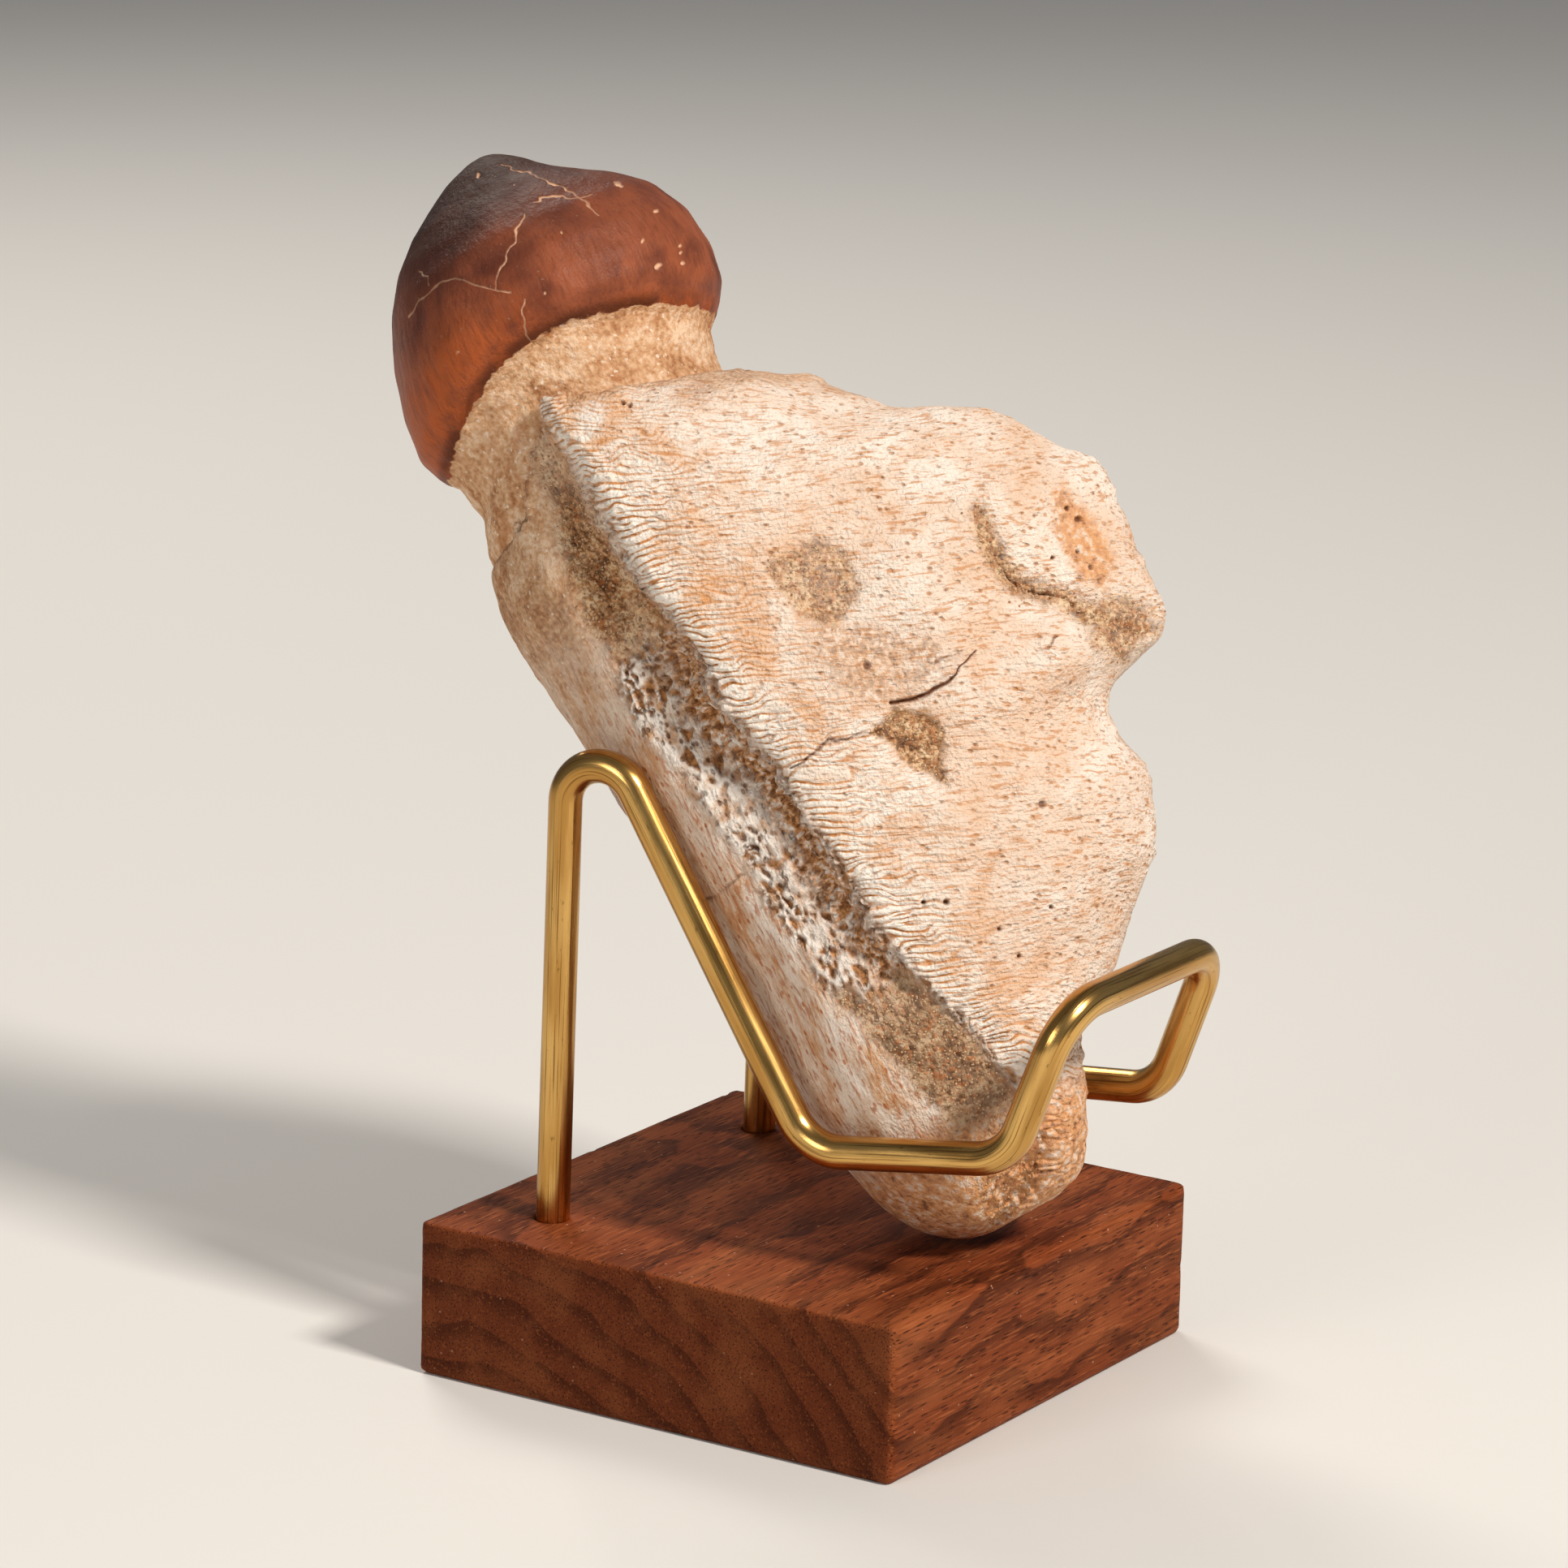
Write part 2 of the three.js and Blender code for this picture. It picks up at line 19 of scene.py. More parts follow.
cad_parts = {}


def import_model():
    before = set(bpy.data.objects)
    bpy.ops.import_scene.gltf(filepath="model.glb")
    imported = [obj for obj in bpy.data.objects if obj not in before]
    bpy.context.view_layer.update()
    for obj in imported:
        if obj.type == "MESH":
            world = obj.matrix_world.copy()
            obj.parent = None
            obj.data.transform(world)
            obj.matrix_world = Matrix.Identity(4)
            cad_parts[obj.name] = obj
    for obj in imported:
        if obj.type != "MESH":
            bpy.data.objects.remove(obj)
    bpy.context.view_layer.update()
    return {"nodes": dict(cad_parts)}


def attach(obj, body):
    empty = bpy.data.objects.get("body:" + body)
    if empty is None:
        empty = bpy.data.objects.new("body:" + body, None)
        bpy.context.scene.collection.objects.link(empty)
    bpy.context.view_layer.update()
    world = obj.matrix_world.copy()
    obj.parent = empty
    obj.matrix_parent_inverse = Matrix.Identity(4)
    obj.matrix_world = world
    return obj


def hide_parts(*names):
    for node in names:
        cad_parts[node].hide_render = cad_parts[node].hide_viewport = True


MM = 0.001
BODY = "root"
PHOTO_SIDE = 1932

log = logging.getLogger("fossil")

Colour = tuple[float, float, float, float]
Place = tuple[float, float, float]
Path = tuple[tuple[float, float], ...]
Spots = tuple[tuple[float, float, float], ...]
Socket = bpy.types.NodeSocket
Input = Socket | float | Colour | Place


def srgb(red: float, green: float, blue: float) -> Colour:
    """Colour as the shaders take it.

    Args:
        red: Red of 0 to 255, as a picture shows it.
        green: Green of 0 to 255.
        blue: Blue of 0 to 255.

    Returns:
        The linear colour, with full alpha.
    """
    shares = [value / 255 for value in (red, green, blue)]
    linear = [share / 12.92 if share < 0.04045 else ((share + 0.055) / 1.055) ** 2.4 for share in shares]
    return (*linear, 1.0)


# Patterns over arrays of points


def smoothstep(values: np.ndarray, start: float, end: float) -> np.ndarray:
    """Smooth rise from 0 at start to 1 at end."""
    share = np.clip((values - start) / (end - start), 0, 1)
    return share * share * (3 - 2 * share)


def lattice_value(cells: np.ndarray, seed: int) -> np.ndarray:
    """Random value of each whole-numbered cell.

    Args:
        cells: Whole numbers, three for each cell.
        seed: Picks one of many random fields.

    Returns:
        One value of 0 to 1 for each cell.
    """
    x, y, z = (cells[:, axis].astype(np.uint64) for axis in range(3))
    mixed = x * np.uint64(73856093) ^ y * np.uint64(19349663) ^ z * np.uint64(83492791)
    mixed ^= np.uint64(seed * 2654435761 + 97)
    for factor in (0xFF51AFD7ED558CCD, 0xC4CEB9FE1A85EC53):
        mixed = (mixed ^ (mixed >> np.uint64(33))) * np.uint64(factor)
    mixed ^= mixed >> np.uint64(33)
    return (mixed >> np.uint64(11)).astype(float) / 2**53


def noise(points: np.ndarray, size: float | Place, seed: int) -> np.ndarray:
    """Smooth random field.

    Args:
        points: Places, three numbers each.
        size: Width of its blobs, or one width for each axis.
        seed: Picks one of many random fields.

    Returns:
        One value of -1 to 1 for each point.
    """
    places = points / np.asarray(size)
    cell = np.floor(places).astype(np.int64)
    share = places - cell
    ease = share**3 * (share * (share * 6 - 15) + 10)
    total = np.zeros(len(points))
    for corner in product((0, 1), repeat=3):
        weight = np.prod(np.where(np.array(corner) == 1, ease, 1 - ease), axis=1)
        total += weight * lattice_value(cell + np.array(corner), seed)
    return 2 * total - 1


def layered_noise(points: np.ndarray, size: float, seed: int, layers: int = 3) -> np.ndarray:
    """Noise with finer and fainter layers on top.

    Args:
        points: Places, three numbers each.
        size: Width of the largest blobs.
        seed: Picks one of many random fields.
        layers: How many layers there are, each half as large as the one before.

    Returns:
        One value of about -1 to 1 for each point.
    """
    return sum(noise(points, size / 2**k, seed + k) / 1.9**k for k in range(layers)) / 1.5


def cells(points: np.ndarray, size: float | Place, seed: int) -> tuple[np.ndarray, np.ndarray]:
    """Distances to the two nearest of many scattered spots.

    Args:
        points: Places, three numbers each.
        size: Distance from spot to spot, or one for each axis.
        seed: Picks one of many random fields.

    Returns:
        Distance to the nearest spot and to the next one, as shares of size.
    """
    places = points / np.asarray(size)
    cell = np.floor(places).astype(np.int64)
    nearest = np.full(len(points), 9.0)
    second = nearest.copy()
    for offset in product((-1, 0, 1), repeat=3):
        there = cell + np.array(offset)
        spot = there + np.stack([lattice_value(there, seed + axis) for axis in range(3)], axis=1)
        distance = np.linalg.norm(spot - places, axis=1)
        second = np.where(distance < nearest, nearest, np.minimum(second, distance))
        nearest = np.minimum(nearest, distance)
    return nearest, second


def path_distance(pixels: np.ndarray, path: Path) -> np.ndarray:
    """Distance of each pixel place to a line of straight runs, in pixels.

    Args:
        pixels: Places in the photograph.
        path: Corners of the line.

    Returns:
        One distance for each place.
    """
    best = np.full(len(pixels), 1e9)
    for start, end in zip(path, path[1:]):
        a, run = np.array(start, float), np.array(end, float) - np.array(start, float)
        share = np.clip(((pixels - a) @ run) / (run @ run), 0, 1)
        best = np.minimum(best, np.linalg.norm(pixels - a - share[:, None] * run, axis=1))
    return best


def inside(pixels: np.ndarray, corners: Path) -> np.ndarray:
    """How far each pixel place lies inside a convex outline.

    Args:
        pixels: Places in the photograph.
        corners: The outline's corners, clockwise as seen in the photograph.

    Returns:
        Distance to the nearest side in pixels, below 0 outside.
    """
    depth = np.full(len(pixels), 1e9)
    for start, end in zip(corners, (*corners[1:], corners[0])):
        a, run = np.array(start, float), np.array(end, float) - np.array(start, float)
        inward = np.array([-run[1], run[0]]) / np.hypot(*run)
        depth = np.minimum(depth, (pixels - a) @ inward)
    return depth


# Frames


@dataclass(frozen=True)
class JawFrame:
    """The jaw's own frame, set at the middle of the rod's two knees.

    Args:
        origin: Its place in the part's frame.
        lean: How far the jaw leans back, in degrees.
        turn: How far its broad face is turned from the stand's front, in degrees.
    """

    origin: Place = (-0.8, -9.5, 24.4)
    lean: float = 31
    turn: float = 55.1

    def rotation(self) -> np.ndarray:
        """Matrix from the jaw's frame (across, inwards, up) to the part's frame."""
        leaning = Matrix.Rotation(math.radians(-self.lean), 3, "X")
        turning = Matrix.Rotation(math.radians(-self.turn), 3, "Z")
        return np.array(leaning @ turning)

    def to_jaw(self, points: np.ndarray) -> np.ndarray:
        """Points of the part's frame as across, out of the broad face, and up."""
        return (points - np.array(self.origin)) @ self.rotation() * np.array([1, -1, 1])

    def directions(self, normals: np.ndarray) -> np.ndarray:
        """Directions of the part's frame as across, out of the broad face, and up."""
        return normals @ self.rotation() * np.array([1, -1, 1])


@dataclass(frozen=True)
class PhotoCamera:
    """The photograph's camera.

    Args:
        place: Where it stands.
        azimuth: Side it looks from, in degrees about the vertical from the front.
        elevation: Height it looks from, in degrees above the horizon.
        roll: Turn about its own line of sight, in degrees.
        focal_pixels: Focal length in pixels of the photograph.
        sensor: Width of the sensor.
    """

    place: Place = (-469.901, -294.952, 191.579)
    azimuth: float = -57.549
    elevation: float = 14.073
    roll: float = 1.364
    focal_pixels: float = 8000
    sensor: float = 36

    def axes(self) -> np.ndarray:
        """Its right, up and backward directions, one to a row.

        Returns:
            The three unit vectors.
        """
        azimuth, elevation, roll = (math.radians(a) for a in (self.azimuth, self.elevation, self.roll))
        flat = math.cos(elevation)
        back = Vector((math.sin(azimuth) * flat, -math.cos(azimuth) * flat, math.sin(elevation)))
        right = Vector((0, 0, 1)).cross(back).normalized()
        right.rotate(Matrix.Rotation(roll, 3, back))
        return np.array([right, back.cross(right), back])

    def pixels(self, points: np.ndarray) -> np.ndarray:
        """Places of points in the photograph, in its own pixels."""
        seen = (points - np.array(self.place)) @ self.axes().T
        return PHOTO_SIDE / 2 + self.focal_pixels * seen[:, :2] * np.array([1, -1]) / -seen[:, 2:]

    def build(self) -> None:
        """Makes the camera and gives it to the scene."""
        data = bpy.data.cameras.new("photo_camera")
        data.sensor_width = self.sensor
        data.lens = self.focal_pixels / PHOTO_SIDE * self.sensor
        data.clip_start, data.clip_end = 0.01, 20
        camera = bpy.data.objects.new("photo_camera", data)
        camera.matrix_world = Matrix(self.axes().T.tolist()).to_4x4()
        camera.location = Vector(self.place) * MM
        bpy.context.scene.collection.objects.link(camera)
        bpy.context.scene.camera = camera


# Meshes


@dataclass
class Skin:
    """A dense closed mesh whose vertices are worked on as arrays.

    Args:
        mesh: The Blender mesh.
    """

    mesh: bpy.types.Mesh

    @classmethod
    def of_node(cls, node: bpy.types.Object, name: str, voxel: float) -> "Skin":
        """Even mesh over a solid of the frame.

        Args:
            node: The solid's object.
            name: Name of the new mesh.
            voxel: Side of its faces.

        Returns:
            The skin, with its faces about one voxel wide.
        """
        loose = bmesh.new()
        loose.from_mesh(node.data)
        bmesh.ops.remove_doubles(loose, verts=loose.verts, dist=0.002 * MM)
        merged = bpy.data.meshes.new(name)
        loose.to_mesh(merged)
        loose.free()
        helper = bpy.data.objects.new(name, merged)
        bpy.context.scene.collection.objects.link(helper)
        remesh = helper.modifiers.new("Even faces", "REMESH")
        remesh.mode, remesh.voxel_size, remesh.adaptivity = "VOXEL", voxel * MM, 0
        graph = bpy.context.evaluated_depsgraph_get()
        mesh = bpy.data.meshes.new_from_object(helper.evaluated_get(graph))
        mesh.name = name
        bpy.data.objects.remove(helper)
        return cls(mesh)

    @property
    def points(self) -> np.ndarray:
        """Vertex places in the part's frame."""
        flat = np.empty(len(self.mesh.vertices) * 3, np.float32)
        self.mesh.vertices.foreach_get("co", flat)
        return flat.reshape(-1, 3).astype(float) / MM

    @points.setter
    def points(self, values: np.ndarray) -> None:
        """Moves the vertices."""
        self.mesh.vertices.foreach_set("co", (values * MM).astype(np.float32).ravel())
        self.mesh.update()

    @property
    def normals(self) -> np.ndarray:
        """Vertex normals."""
        flat = np.empty(len(self.mesh.vertices) * 3, np.float32)
        self.mesh.vertex_normals.foreach_get("vector", flat)
        return flat.reshape(-1, 3).astype(float)

    def smooth(self, rounds: int, where: np.ndarray | None = None, keep_volume: bool = True) -> None:
        """Evens the surface out.

        Args:
            rounds: How many times it is evened.
            where: Strength of 0 to 1 for each vertex, or None for all of it.
            keep_volume: Whether each round is followed by one that swells it back.
        """
        ends = np.empty(len(self.mesh.edges) * 2, np.int32)
        self.mesh.edges.foreach_get("vertices", ends)
        a, b = np.concatenate([ends[0::2], ends[1::2]]), np.concatenate([ends[1::2], ends[0::2]])
        points = self.points
        count = np.bincount(a, minlength=len(points))
        strength = np.ones(len(points)) if where is None else where
        steps = (0.6, -0.62) if keep_volume else (0.6,)
        for step in steps * rounds:
            mean = np.stack([np.bincount(a, points[b, axis], len(points)) for axis in range(3)], axis=1)
            points += step * strength[:, None] * (mean / count[:, None] - points)
        self.points = points

    def refine(self, chosen: np.ndarray) -> None:
        """Splits each face whose corners are all chosen into four.

        Args:
            chosen: Whether each vertex is chosen.
        """
        mesh = bmesh.new()
        mesh.from_mesh(self.mesh)
        edges = [e for e in mesh.edges if chosen[e.verts[0].index] and chosen[e.verts[1].index]]
        bmesh.ops.subdivide_edges(mesh, edges=edges, cuts=1, use_grid_fill=True)
        crowded = [f for f in mesh.faces if len(f.verts) > 4]
        bmesh.ops.triangulate(mesh, faces=crowded)
        mesh.to_mesh(self.mesh)
        mesh.free()
        self.mesh.update()

    def store(self, name: str, values: np.ndarray) -> None:
        """Keeps one number or one vector for each vertex, for the finish to read."""
        vector = values.ndim == 2
        attribute = self.mesh.attributes.new(name, "FLOAT_VECTOR" if vector else "FLOAT", "POINT")
        attribute.data.foreach_set("vector" if vector else "value", values.astype(np.float32).ravel())

    def to_piece(self, name: str, node: str, slot: str, material: bpy.types.Material) -> bpy.types.Object:
        """Finished piece that stands for a solid of the frame.

        Args:
            name: The piece's name.
            node: The solid that it stands for.
            slot: The record's material slot; not used.
            material: Its finish.

        Returns:
            The piece's object.
        """
        self.mesh.polygons.foreach_set("use_smooth", np.ones(len(self.mesh.polygons), bool))
        self.mesh.materials.clear()
        self.mesh.materials.append(material)
        return place_piece(self.mesh, name, node)


def place_piece(mesh: bpy.types.Mesh, name: str, node: str | None = None) -> bpy.types.Object:
    """Puts a finished mesh into the scene as a piece of the object.

    Args:
        mesh: The mesh, already in its place.
        name: The piece's name.
        node: The solid that it stands for, if it stands for one.

    Returns:
        The piece's object.
    """
    piece = bpy.data.objects.new(name, mesh)
    bpy.context.scene.collection.objects.link(piece)
    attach(piece, BODY)
    if node:
        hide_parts(node)
    return piece


# Shader building


def add_node(
    tree: bpy.types.NodeTree, kind: str, inputs: dict[int | str, object], fields: dict[str, object]
) -> bpy.types.Node:
    """Adds a node to a tree.

    Args:
        tree: The tree of a material or of a geometry.
        kind: Blender's name for the node type.
        inputs: Values or sockets for its inputs, by index or name.
        fields: The node's own settings.

    Returns:
        The node.
    """
    node = tree.nodes.new(kind)
    for name, value in fields.items():
        setattr(node, name, value)
    for key, value in inputs.items():
        if isinstance(value, Socket):
            tree.links.new(value, node.inputs[key])
        else:
            node.inputs[key].default_value = value
    return node


class ShaderGraph:
    """Builds one material's nodes in few words."""

    def __init__(self, name: str) -> None:
        """Starts an empty material of that name.

        Args:
            name: The material's name.
        """
        self.material = bpy.data.materials.new(name)
        self.material.use_nodes = True
        self.tree = self.material.node_tree
        self.tree.nodes.clear()
        self.output = self.tree.nodes.new("ShaderNodeOutputMaterial")

    def node(self, kind: str, inputs: dict[int | str, Input], **fields: object) -> bpy.types.Node:
        """Adds a node with its inputs and settings."""
        return add_node(self.tree, kind, inputs, fields)

    def attribute(self, name: str) -> Socket:
        """A number kept on the vertices."""
        return self.node("ShaderNodeAttribute", {}, attribute_name=name).outputs["Fac"]

    def vector(self, name: str) -> Socket:
        """A vector kept on the vertices."""
        return self.node("ShaderNodeAttribute", {}, attribute_name=name).outputs["Vector"]

    def stretch(self, vector: Input, sizes: Place) -> Socket:
        """A vector divided by one size for each axis."""
        return self.vectors("MULTIPLY", vector, tuple(1 / size for size in sizes))

    def noise(self, vector: Input, size: float, detail: float = 2, warp: float = 0) -> Socket:
        """Noise of 0 to 1 with blobs of that size."""
        inputs = {"Vector": vector, "Scale": 1 / size, "Detail": detail, "Distortion": warp}
        return self.node("ShaderNodeTexNoise", inputs).outputs[0]

    def grain(self, vector: Input, sizes: Place, detail: float = 2, warp: float = 0) -> Socket:
        """Noise of 0 to 1 whose blobs have one size for each axis."""
        return self.noise(self.stretch(vector, sizes), 1, detail, warp)

    def dots(self, vector: Input, sizes: Place) -> Socket:
        """Distance to the nearest of scattered spots, which have one spacing for each axis."""
        return self.spots(self.stretch(vector, sizes), 1)

    def spots(self, vector: Input, size: float) -> Socket:
        """Distance to the nearest of scattered spots, which are that far apart."""
        return self.node("ShaderNodeTexVoronoi", {"Vector": vector, "Scale": 1 / size}).outputs["Distance"]

    def speckle(self, vector: Input, size: float) -> Socket:
        """A random value of 0 to 1 for each of many small cells."""
        colour = self.node("ShaderNodeTexVoronoi", {"Vector": vector, "Scale": 1 / size}).outputs["Color"]
        return self.node("ShaderNodeSeparateColor", {0: colour}).outputs[0]

    def math(self, operation: str, a: Input, b: Input = 0.0) -> Socket:
        """Arithmetic on numbers."""
        return self.node("ShaderNodeMath", {0: a, 1: b}, operation=operation).outputs[0]

    def vectors(self, operation: str, a: Input, b: Input) -> Socket:
        """Arithmetic on vectors."""
        return self.node("ShaderNodeVectorMath", {0: a, 1: b}, operation=operation).outputs[0]

    def times(self, *factors: Input) -> Socket:
        """Product of several numbers.

        Args:
            *factors: The numbers.

        Returns:
            Their product.
        """
        total = factors[0]
        for factor in factors[1:]:
            total = self.math("MULTIPLY", total, factor)
        return total

    def add(self, *terms: Input) -> Socket:
        """Sum of several numbers.

        Args:
            *terms: The numbers.

        Returns:
            Their sum.
        """
        total = terms[0]
        for term in terms[1:]:
            total = self.math("ADD", total, term)
        return total

    def step(self, value: Input, start: float, end: float) -> Socket:
        """Smooth rise of 0 to 1 from start to end, or fall where start is the larger.

        Args:
            value: The number.
            start: Where the result is still 0.
            end: Where it reaches 1.

        Returns:
            The result's socket.
        """
        low, high = sorted((start, end))
        falling = float(start > end)
        inputs = {0: value, 1: low, 2: high, 3: falling, 4: 1 - falling}
        return self.node("ShaderNodeMapRange", inputs, interpolation_type="SMOOTHSTEP").outputs[0]

    def between(self, share: Input, a: Input, b: Input) -> Socket:
        """Number that goes from a to b with the share."""
        return self.node("ShaderNodeMix", {0: share, 2: a, 3: b}, data_type="FLOAT").outputs[0]

    def lay(self, colour: Input, over: Input, *shares: Input) -> Socket:
        """Colour with another laid on it, by the product of the shares."""
        return self.mix(self.times(*shares), colour, over)

    def mix(self, share: Input, a: Input, b: Input) -> Socket:
        """Colour a with that share of colour b laid on it."""
        return self.node("ShaderNodeMix", {0: share, 6: a, 7: b}, data_type="RGBA").outputs[2]

    def ramp(self, value: Input, *stops: tuple[float, Colour]) -> Socket:
        """Colour that follows a number through the given stops.

        Args:
            value: The number.
            *stops: Positions of 0 to 1 with their colours, in rising order.

        Returns:
            The colour's socket.
        """
        node = self.node("ShaderNodeValToRGB", {0: value})
        elements = node.color_ramp.elements
        while len(elements) < len(stops):
            elements.new(1.0)
        for element, (position, colour) in zip(elements, stops):
            element.position, element.color = position, colour
        return node.outputs[0]

    def relief(self, height: Input, depth: float, below: Input | None = None) -> Socket:
        """Normal of a fine relief that is that deep.

        Args:
            height: Height of 0 to 1.
            depth: Depth in millimetres at a height of 1.
            below: A normal that the relief is laid on.

        Returns:
            The normal's socket.
        """
        inputs = {"Height": height, "Distance": depth * MM, "Strength": 1.0}
        if below is not None:
            inputs["Normal"] = below
        return self.node("ShaderNodeBump", inputs).outputs[0]

    def surface(self, **inputs: Input) -> bpy.types.Material:
        """Ends the graph in one shader.

        Args:
            **inputs: The shader's inputs, with underscores for spaces.

        Returns:
            The finished material.
        """
        named = {key.replace("_", " "): value for key, value in inputs.items()}
        shader = self.node("ShaderNodeBsdfPrincipled", named)
        self.tree.links.new(shader.outputs[0], self.output.inputs[0])
        return self.material


# Finishes


@dataclass(frozen=True)
class RootFinish:
    """Tan, granular surface with sparse pale specks painted in as glints, which the tooth's root and the
    jaw's neck share.
    """

    dark: Colour = srgb(164, 112, 74)
    middle: Colour = srgb(209, 163, 122)
    light: Colour = srgb(234, 202, 170)
    painted_glint: Colour = srgb(250, 234, 214)
    rust: Colour = srgb(180, 112, 62)

    def colour(self, graph: ShaderGraph, place: Input) -> Socket:
        """Colour over the surface.

        Args:
            graph: The material's graph.
            place: Place on the piece, in millimetres.

        Returns:
            The colour's socket.
        """
        fine, broad = graph.noise(place, 0.5, detail=6), graph.noise(place, 3.4, detail=5, warp=0.5)
        tone = graph.times(graph.add(fine, broad), 0.5)
        colour = graph.ramp(tone, (0.36, self.dark), (0.49, self.middle), (0.62, self.light))
        rusty = graph.step(graph.noise(place, 2.2, detail=5), 0.54, 0.7)
        colour = graph.lay(colour, self.rust, rusty, 0.5)
        # Painted glints: sparse near-white specks.
        return graph.lay(colour, self.painted_glint, graph.step(graph.speckle(place, 0.24), 0.975, 0.99), 0.6)


@dataclass(frozen=True)
class MatrixFinish:
    """Sandy rock that still clings to the bone, tan above and greyer at the fragment's lower end."""

    dark: Colour = srgb(116, 78, 48)
    middle: Colour = srgb(192, 140, 92)
    light: Colour = srgb(230, 198, 158)
    grey: Colour = srgb(150, 130, 110)
    rust: Colour = srgb(178, 106, 56)

    def colour(self, graph: ShaderGraph, place: Input) -> Socket:
        """Colour over the surface.

        Args:
            graph: The material's graph.
            place: Place on the piece, in millimetres.

        Returns:
            The colour's socket.
        """
        fine, broad = graph.noise(place, 0.42, detail=5), graph.noise(place, 1.8, detail=5)
        tone = graph.times(graph.add(fine, broad), 0.5)
        colour = graph.ramp(tone, (0.4, self.dark), (0.485, self.middle), (0.58, self.light))
        height = graph.node("ShaderNodeSeparateXYZ", {0: place}).outputs[2]
        colour = graph.lay(colour, self.grey, graph.step(height, 18, 9), 0.45)
        stones = graph.speckle(place, 0.36)
        colour = graph.lay(colour, self.rust, graph.step(stones, 0.8, 0.9), 0.6)
        return graph.lay(colour, self.dark, graph.step(stones, 0.12, 0.04), 0.7)


@dataclass(frozen=True)
class BoneFinish:
    """Cream fossil bone with its stains, pores, spongy band, fibrous side and clinging rock."""

    cream: Colour = srgb(238, 212, 190)
    pale: Colour = srgb(248, 235, 221)
    amber: Colour = srgb(228, 164, 104)
    streak: Colour = srgb(208, 146, 94)
    pore: Colour = srgb(134, 84, 52)
    groove: Colour = srgb(208, 142, 86)
    crest: Colour = srgb(253, 243, 230)
    rust: Colour = srgb(206, 140, 90)
    # Dark earth brown: the darkest rust tone, and partly painted shade in the groove under the crest.
    hollow: Colour = srgb(124, 78, 42)
    crumb: Colour = srgb(206, 146, 90)
    spongy_pit: Colour = srgb(112, 70, 38)
    spongy_mid: Colour = srgb(198, 154, 116)
    spongy_top: Colour = srgb(242, 233, 222)
    fibre_light: Colour = srgb(244, 229, 214)
    fibre_mid: Colour = srgb(216, 170, 130)
    fibre_dark: Colour = srgb(188, 108, 54)
    # Painted shade: dark brown for the cracks and holes, and the painted shadows of the notch, the ledge and
    # the lifted sheet over the wide crack.
    crack: Colour = srgb(112, 68, 40)
    root: RootFinish = RootFinish()
    rock: MatrixFinish = MatrixFinish()

    def folds(self, graph: ShaderGraph) -> Socket:
        """The ridges as the mesh has them: 1 on their crests and 0 in their grooves."""
        phases = graph.node("ShaderNodeSeparateXYZ", {0: graph.vector("ridge_phases")}).outputs
        waves = [graph.math("ABSOLUTE", graph.math("SINE", graph.times(phases[i], math.pi))) for i in (0, 1)]
        return graph.between(phases[2], *waves)

    def face_colour(self, graph: ShaderGraph, place: Input, streak: Input, folds: Input) -> Socket:
        """Colour of the broad face.

        Args:
            graph: The material's graph.
            place: Place on the piece, in millimetres.
            streak: The same place in the frame of the streaks.
            folds: The ridges as the mesh has them.

        Returns:
            The colour's socket.
        """
        colour = graph.mix(graph.step(graph.noise(place, 9, detail=4), 0.38, 0.62), self.cream, self.pale)
        stain = graph.attribute("stain")
        stained = graph.times(graph.step(graph.noise(place, 4, detail=5, warp=0.6), 0.41, 0.62), stain)
        colour = graph.lay(colour, self.amber, stained, 0.85)
        lines = graph.step(graph.grain(streak, (2.0, 1.0, 0.34), detail=5, warp=0.3), 0.53, 0.65)
        colour = graph.lay(colour, self.streak, lines, 0.75)
        crests = graph.times(graph.step(folds, 0.35, 0.7), graph.attribute("ridged"), 0.95)
        bare = graph.math("SUBTRACT", crests, graph.times(stained, 0.35))
        colour = graph.lay(colour, self.crest, graph.math("MAXIMUM", bare, 0.0))
        patchy = graph.step(graph.noise(place, 1.1, detail=5), 0.36, 0.58)
        grooves = graph.times(graph.step(folds, 0.6, 0.2), graph.attribute("ridged"), patchy)
        colour = graph.lay(colour, self.groove, grooves, 0.95)
        small = graph.step(graph.dots(streak, (0.8, 0.6, 0.5)), 0.3, 0.12)
        colour = graph.lay(colour, self.streak, small, graph.attribute("porous"), 0.5)
        spots = graph.dots(streak, (1.15, 1.0, 0.85))
        pores = graph.times(graph.step(spots, 0.3, 0.12), graph.step(graph.noise(place, 2.4), 0.34, 0.55))
        colour = graph.lay(colour, self.streak, pores, graph.attribute("porous"), 0.75)
        dots = graph.times(graph.step(spots, 0.15, 0.08), graph.step(graph.noise(place, 1.3), 0.48, 0.6))
        return graph.lay(colour, self.pore, dots, graph.attribute("porous"), 0.75)

    def spongy_colour(self, graph: ShaderGraph, place: Input) -> Socket:
        """Colour of the open network inside the bone, dark in its pits and pale on its walls.

        Args:
            graph: The material's graph.
            place: Place on the piece, in millimetres.

        Returns:
            The colour's socket.
        """
        tone = graph.noise(place, 1.6, detail=6)
        wall = graph.ramp(tone, (0.32, self.spongy_mid), (0.5, self.spongy_top))
        pit = graph.ramp(graph.noise(place, 0.6, detail=4), (0.36, self.spongy_pit), (0.62, self.crumb))
        colour = graph.mix(graph.attribute("pit"), wall, pit)
        pores = graph.step(graph.dots(place, (0.55, 0.55, 0.9)), 0.36, 0.2)
        return graph.lay(colour, self.spongy_pit, pores, graph.step(tone, 0.62, 0.42), 0.8)

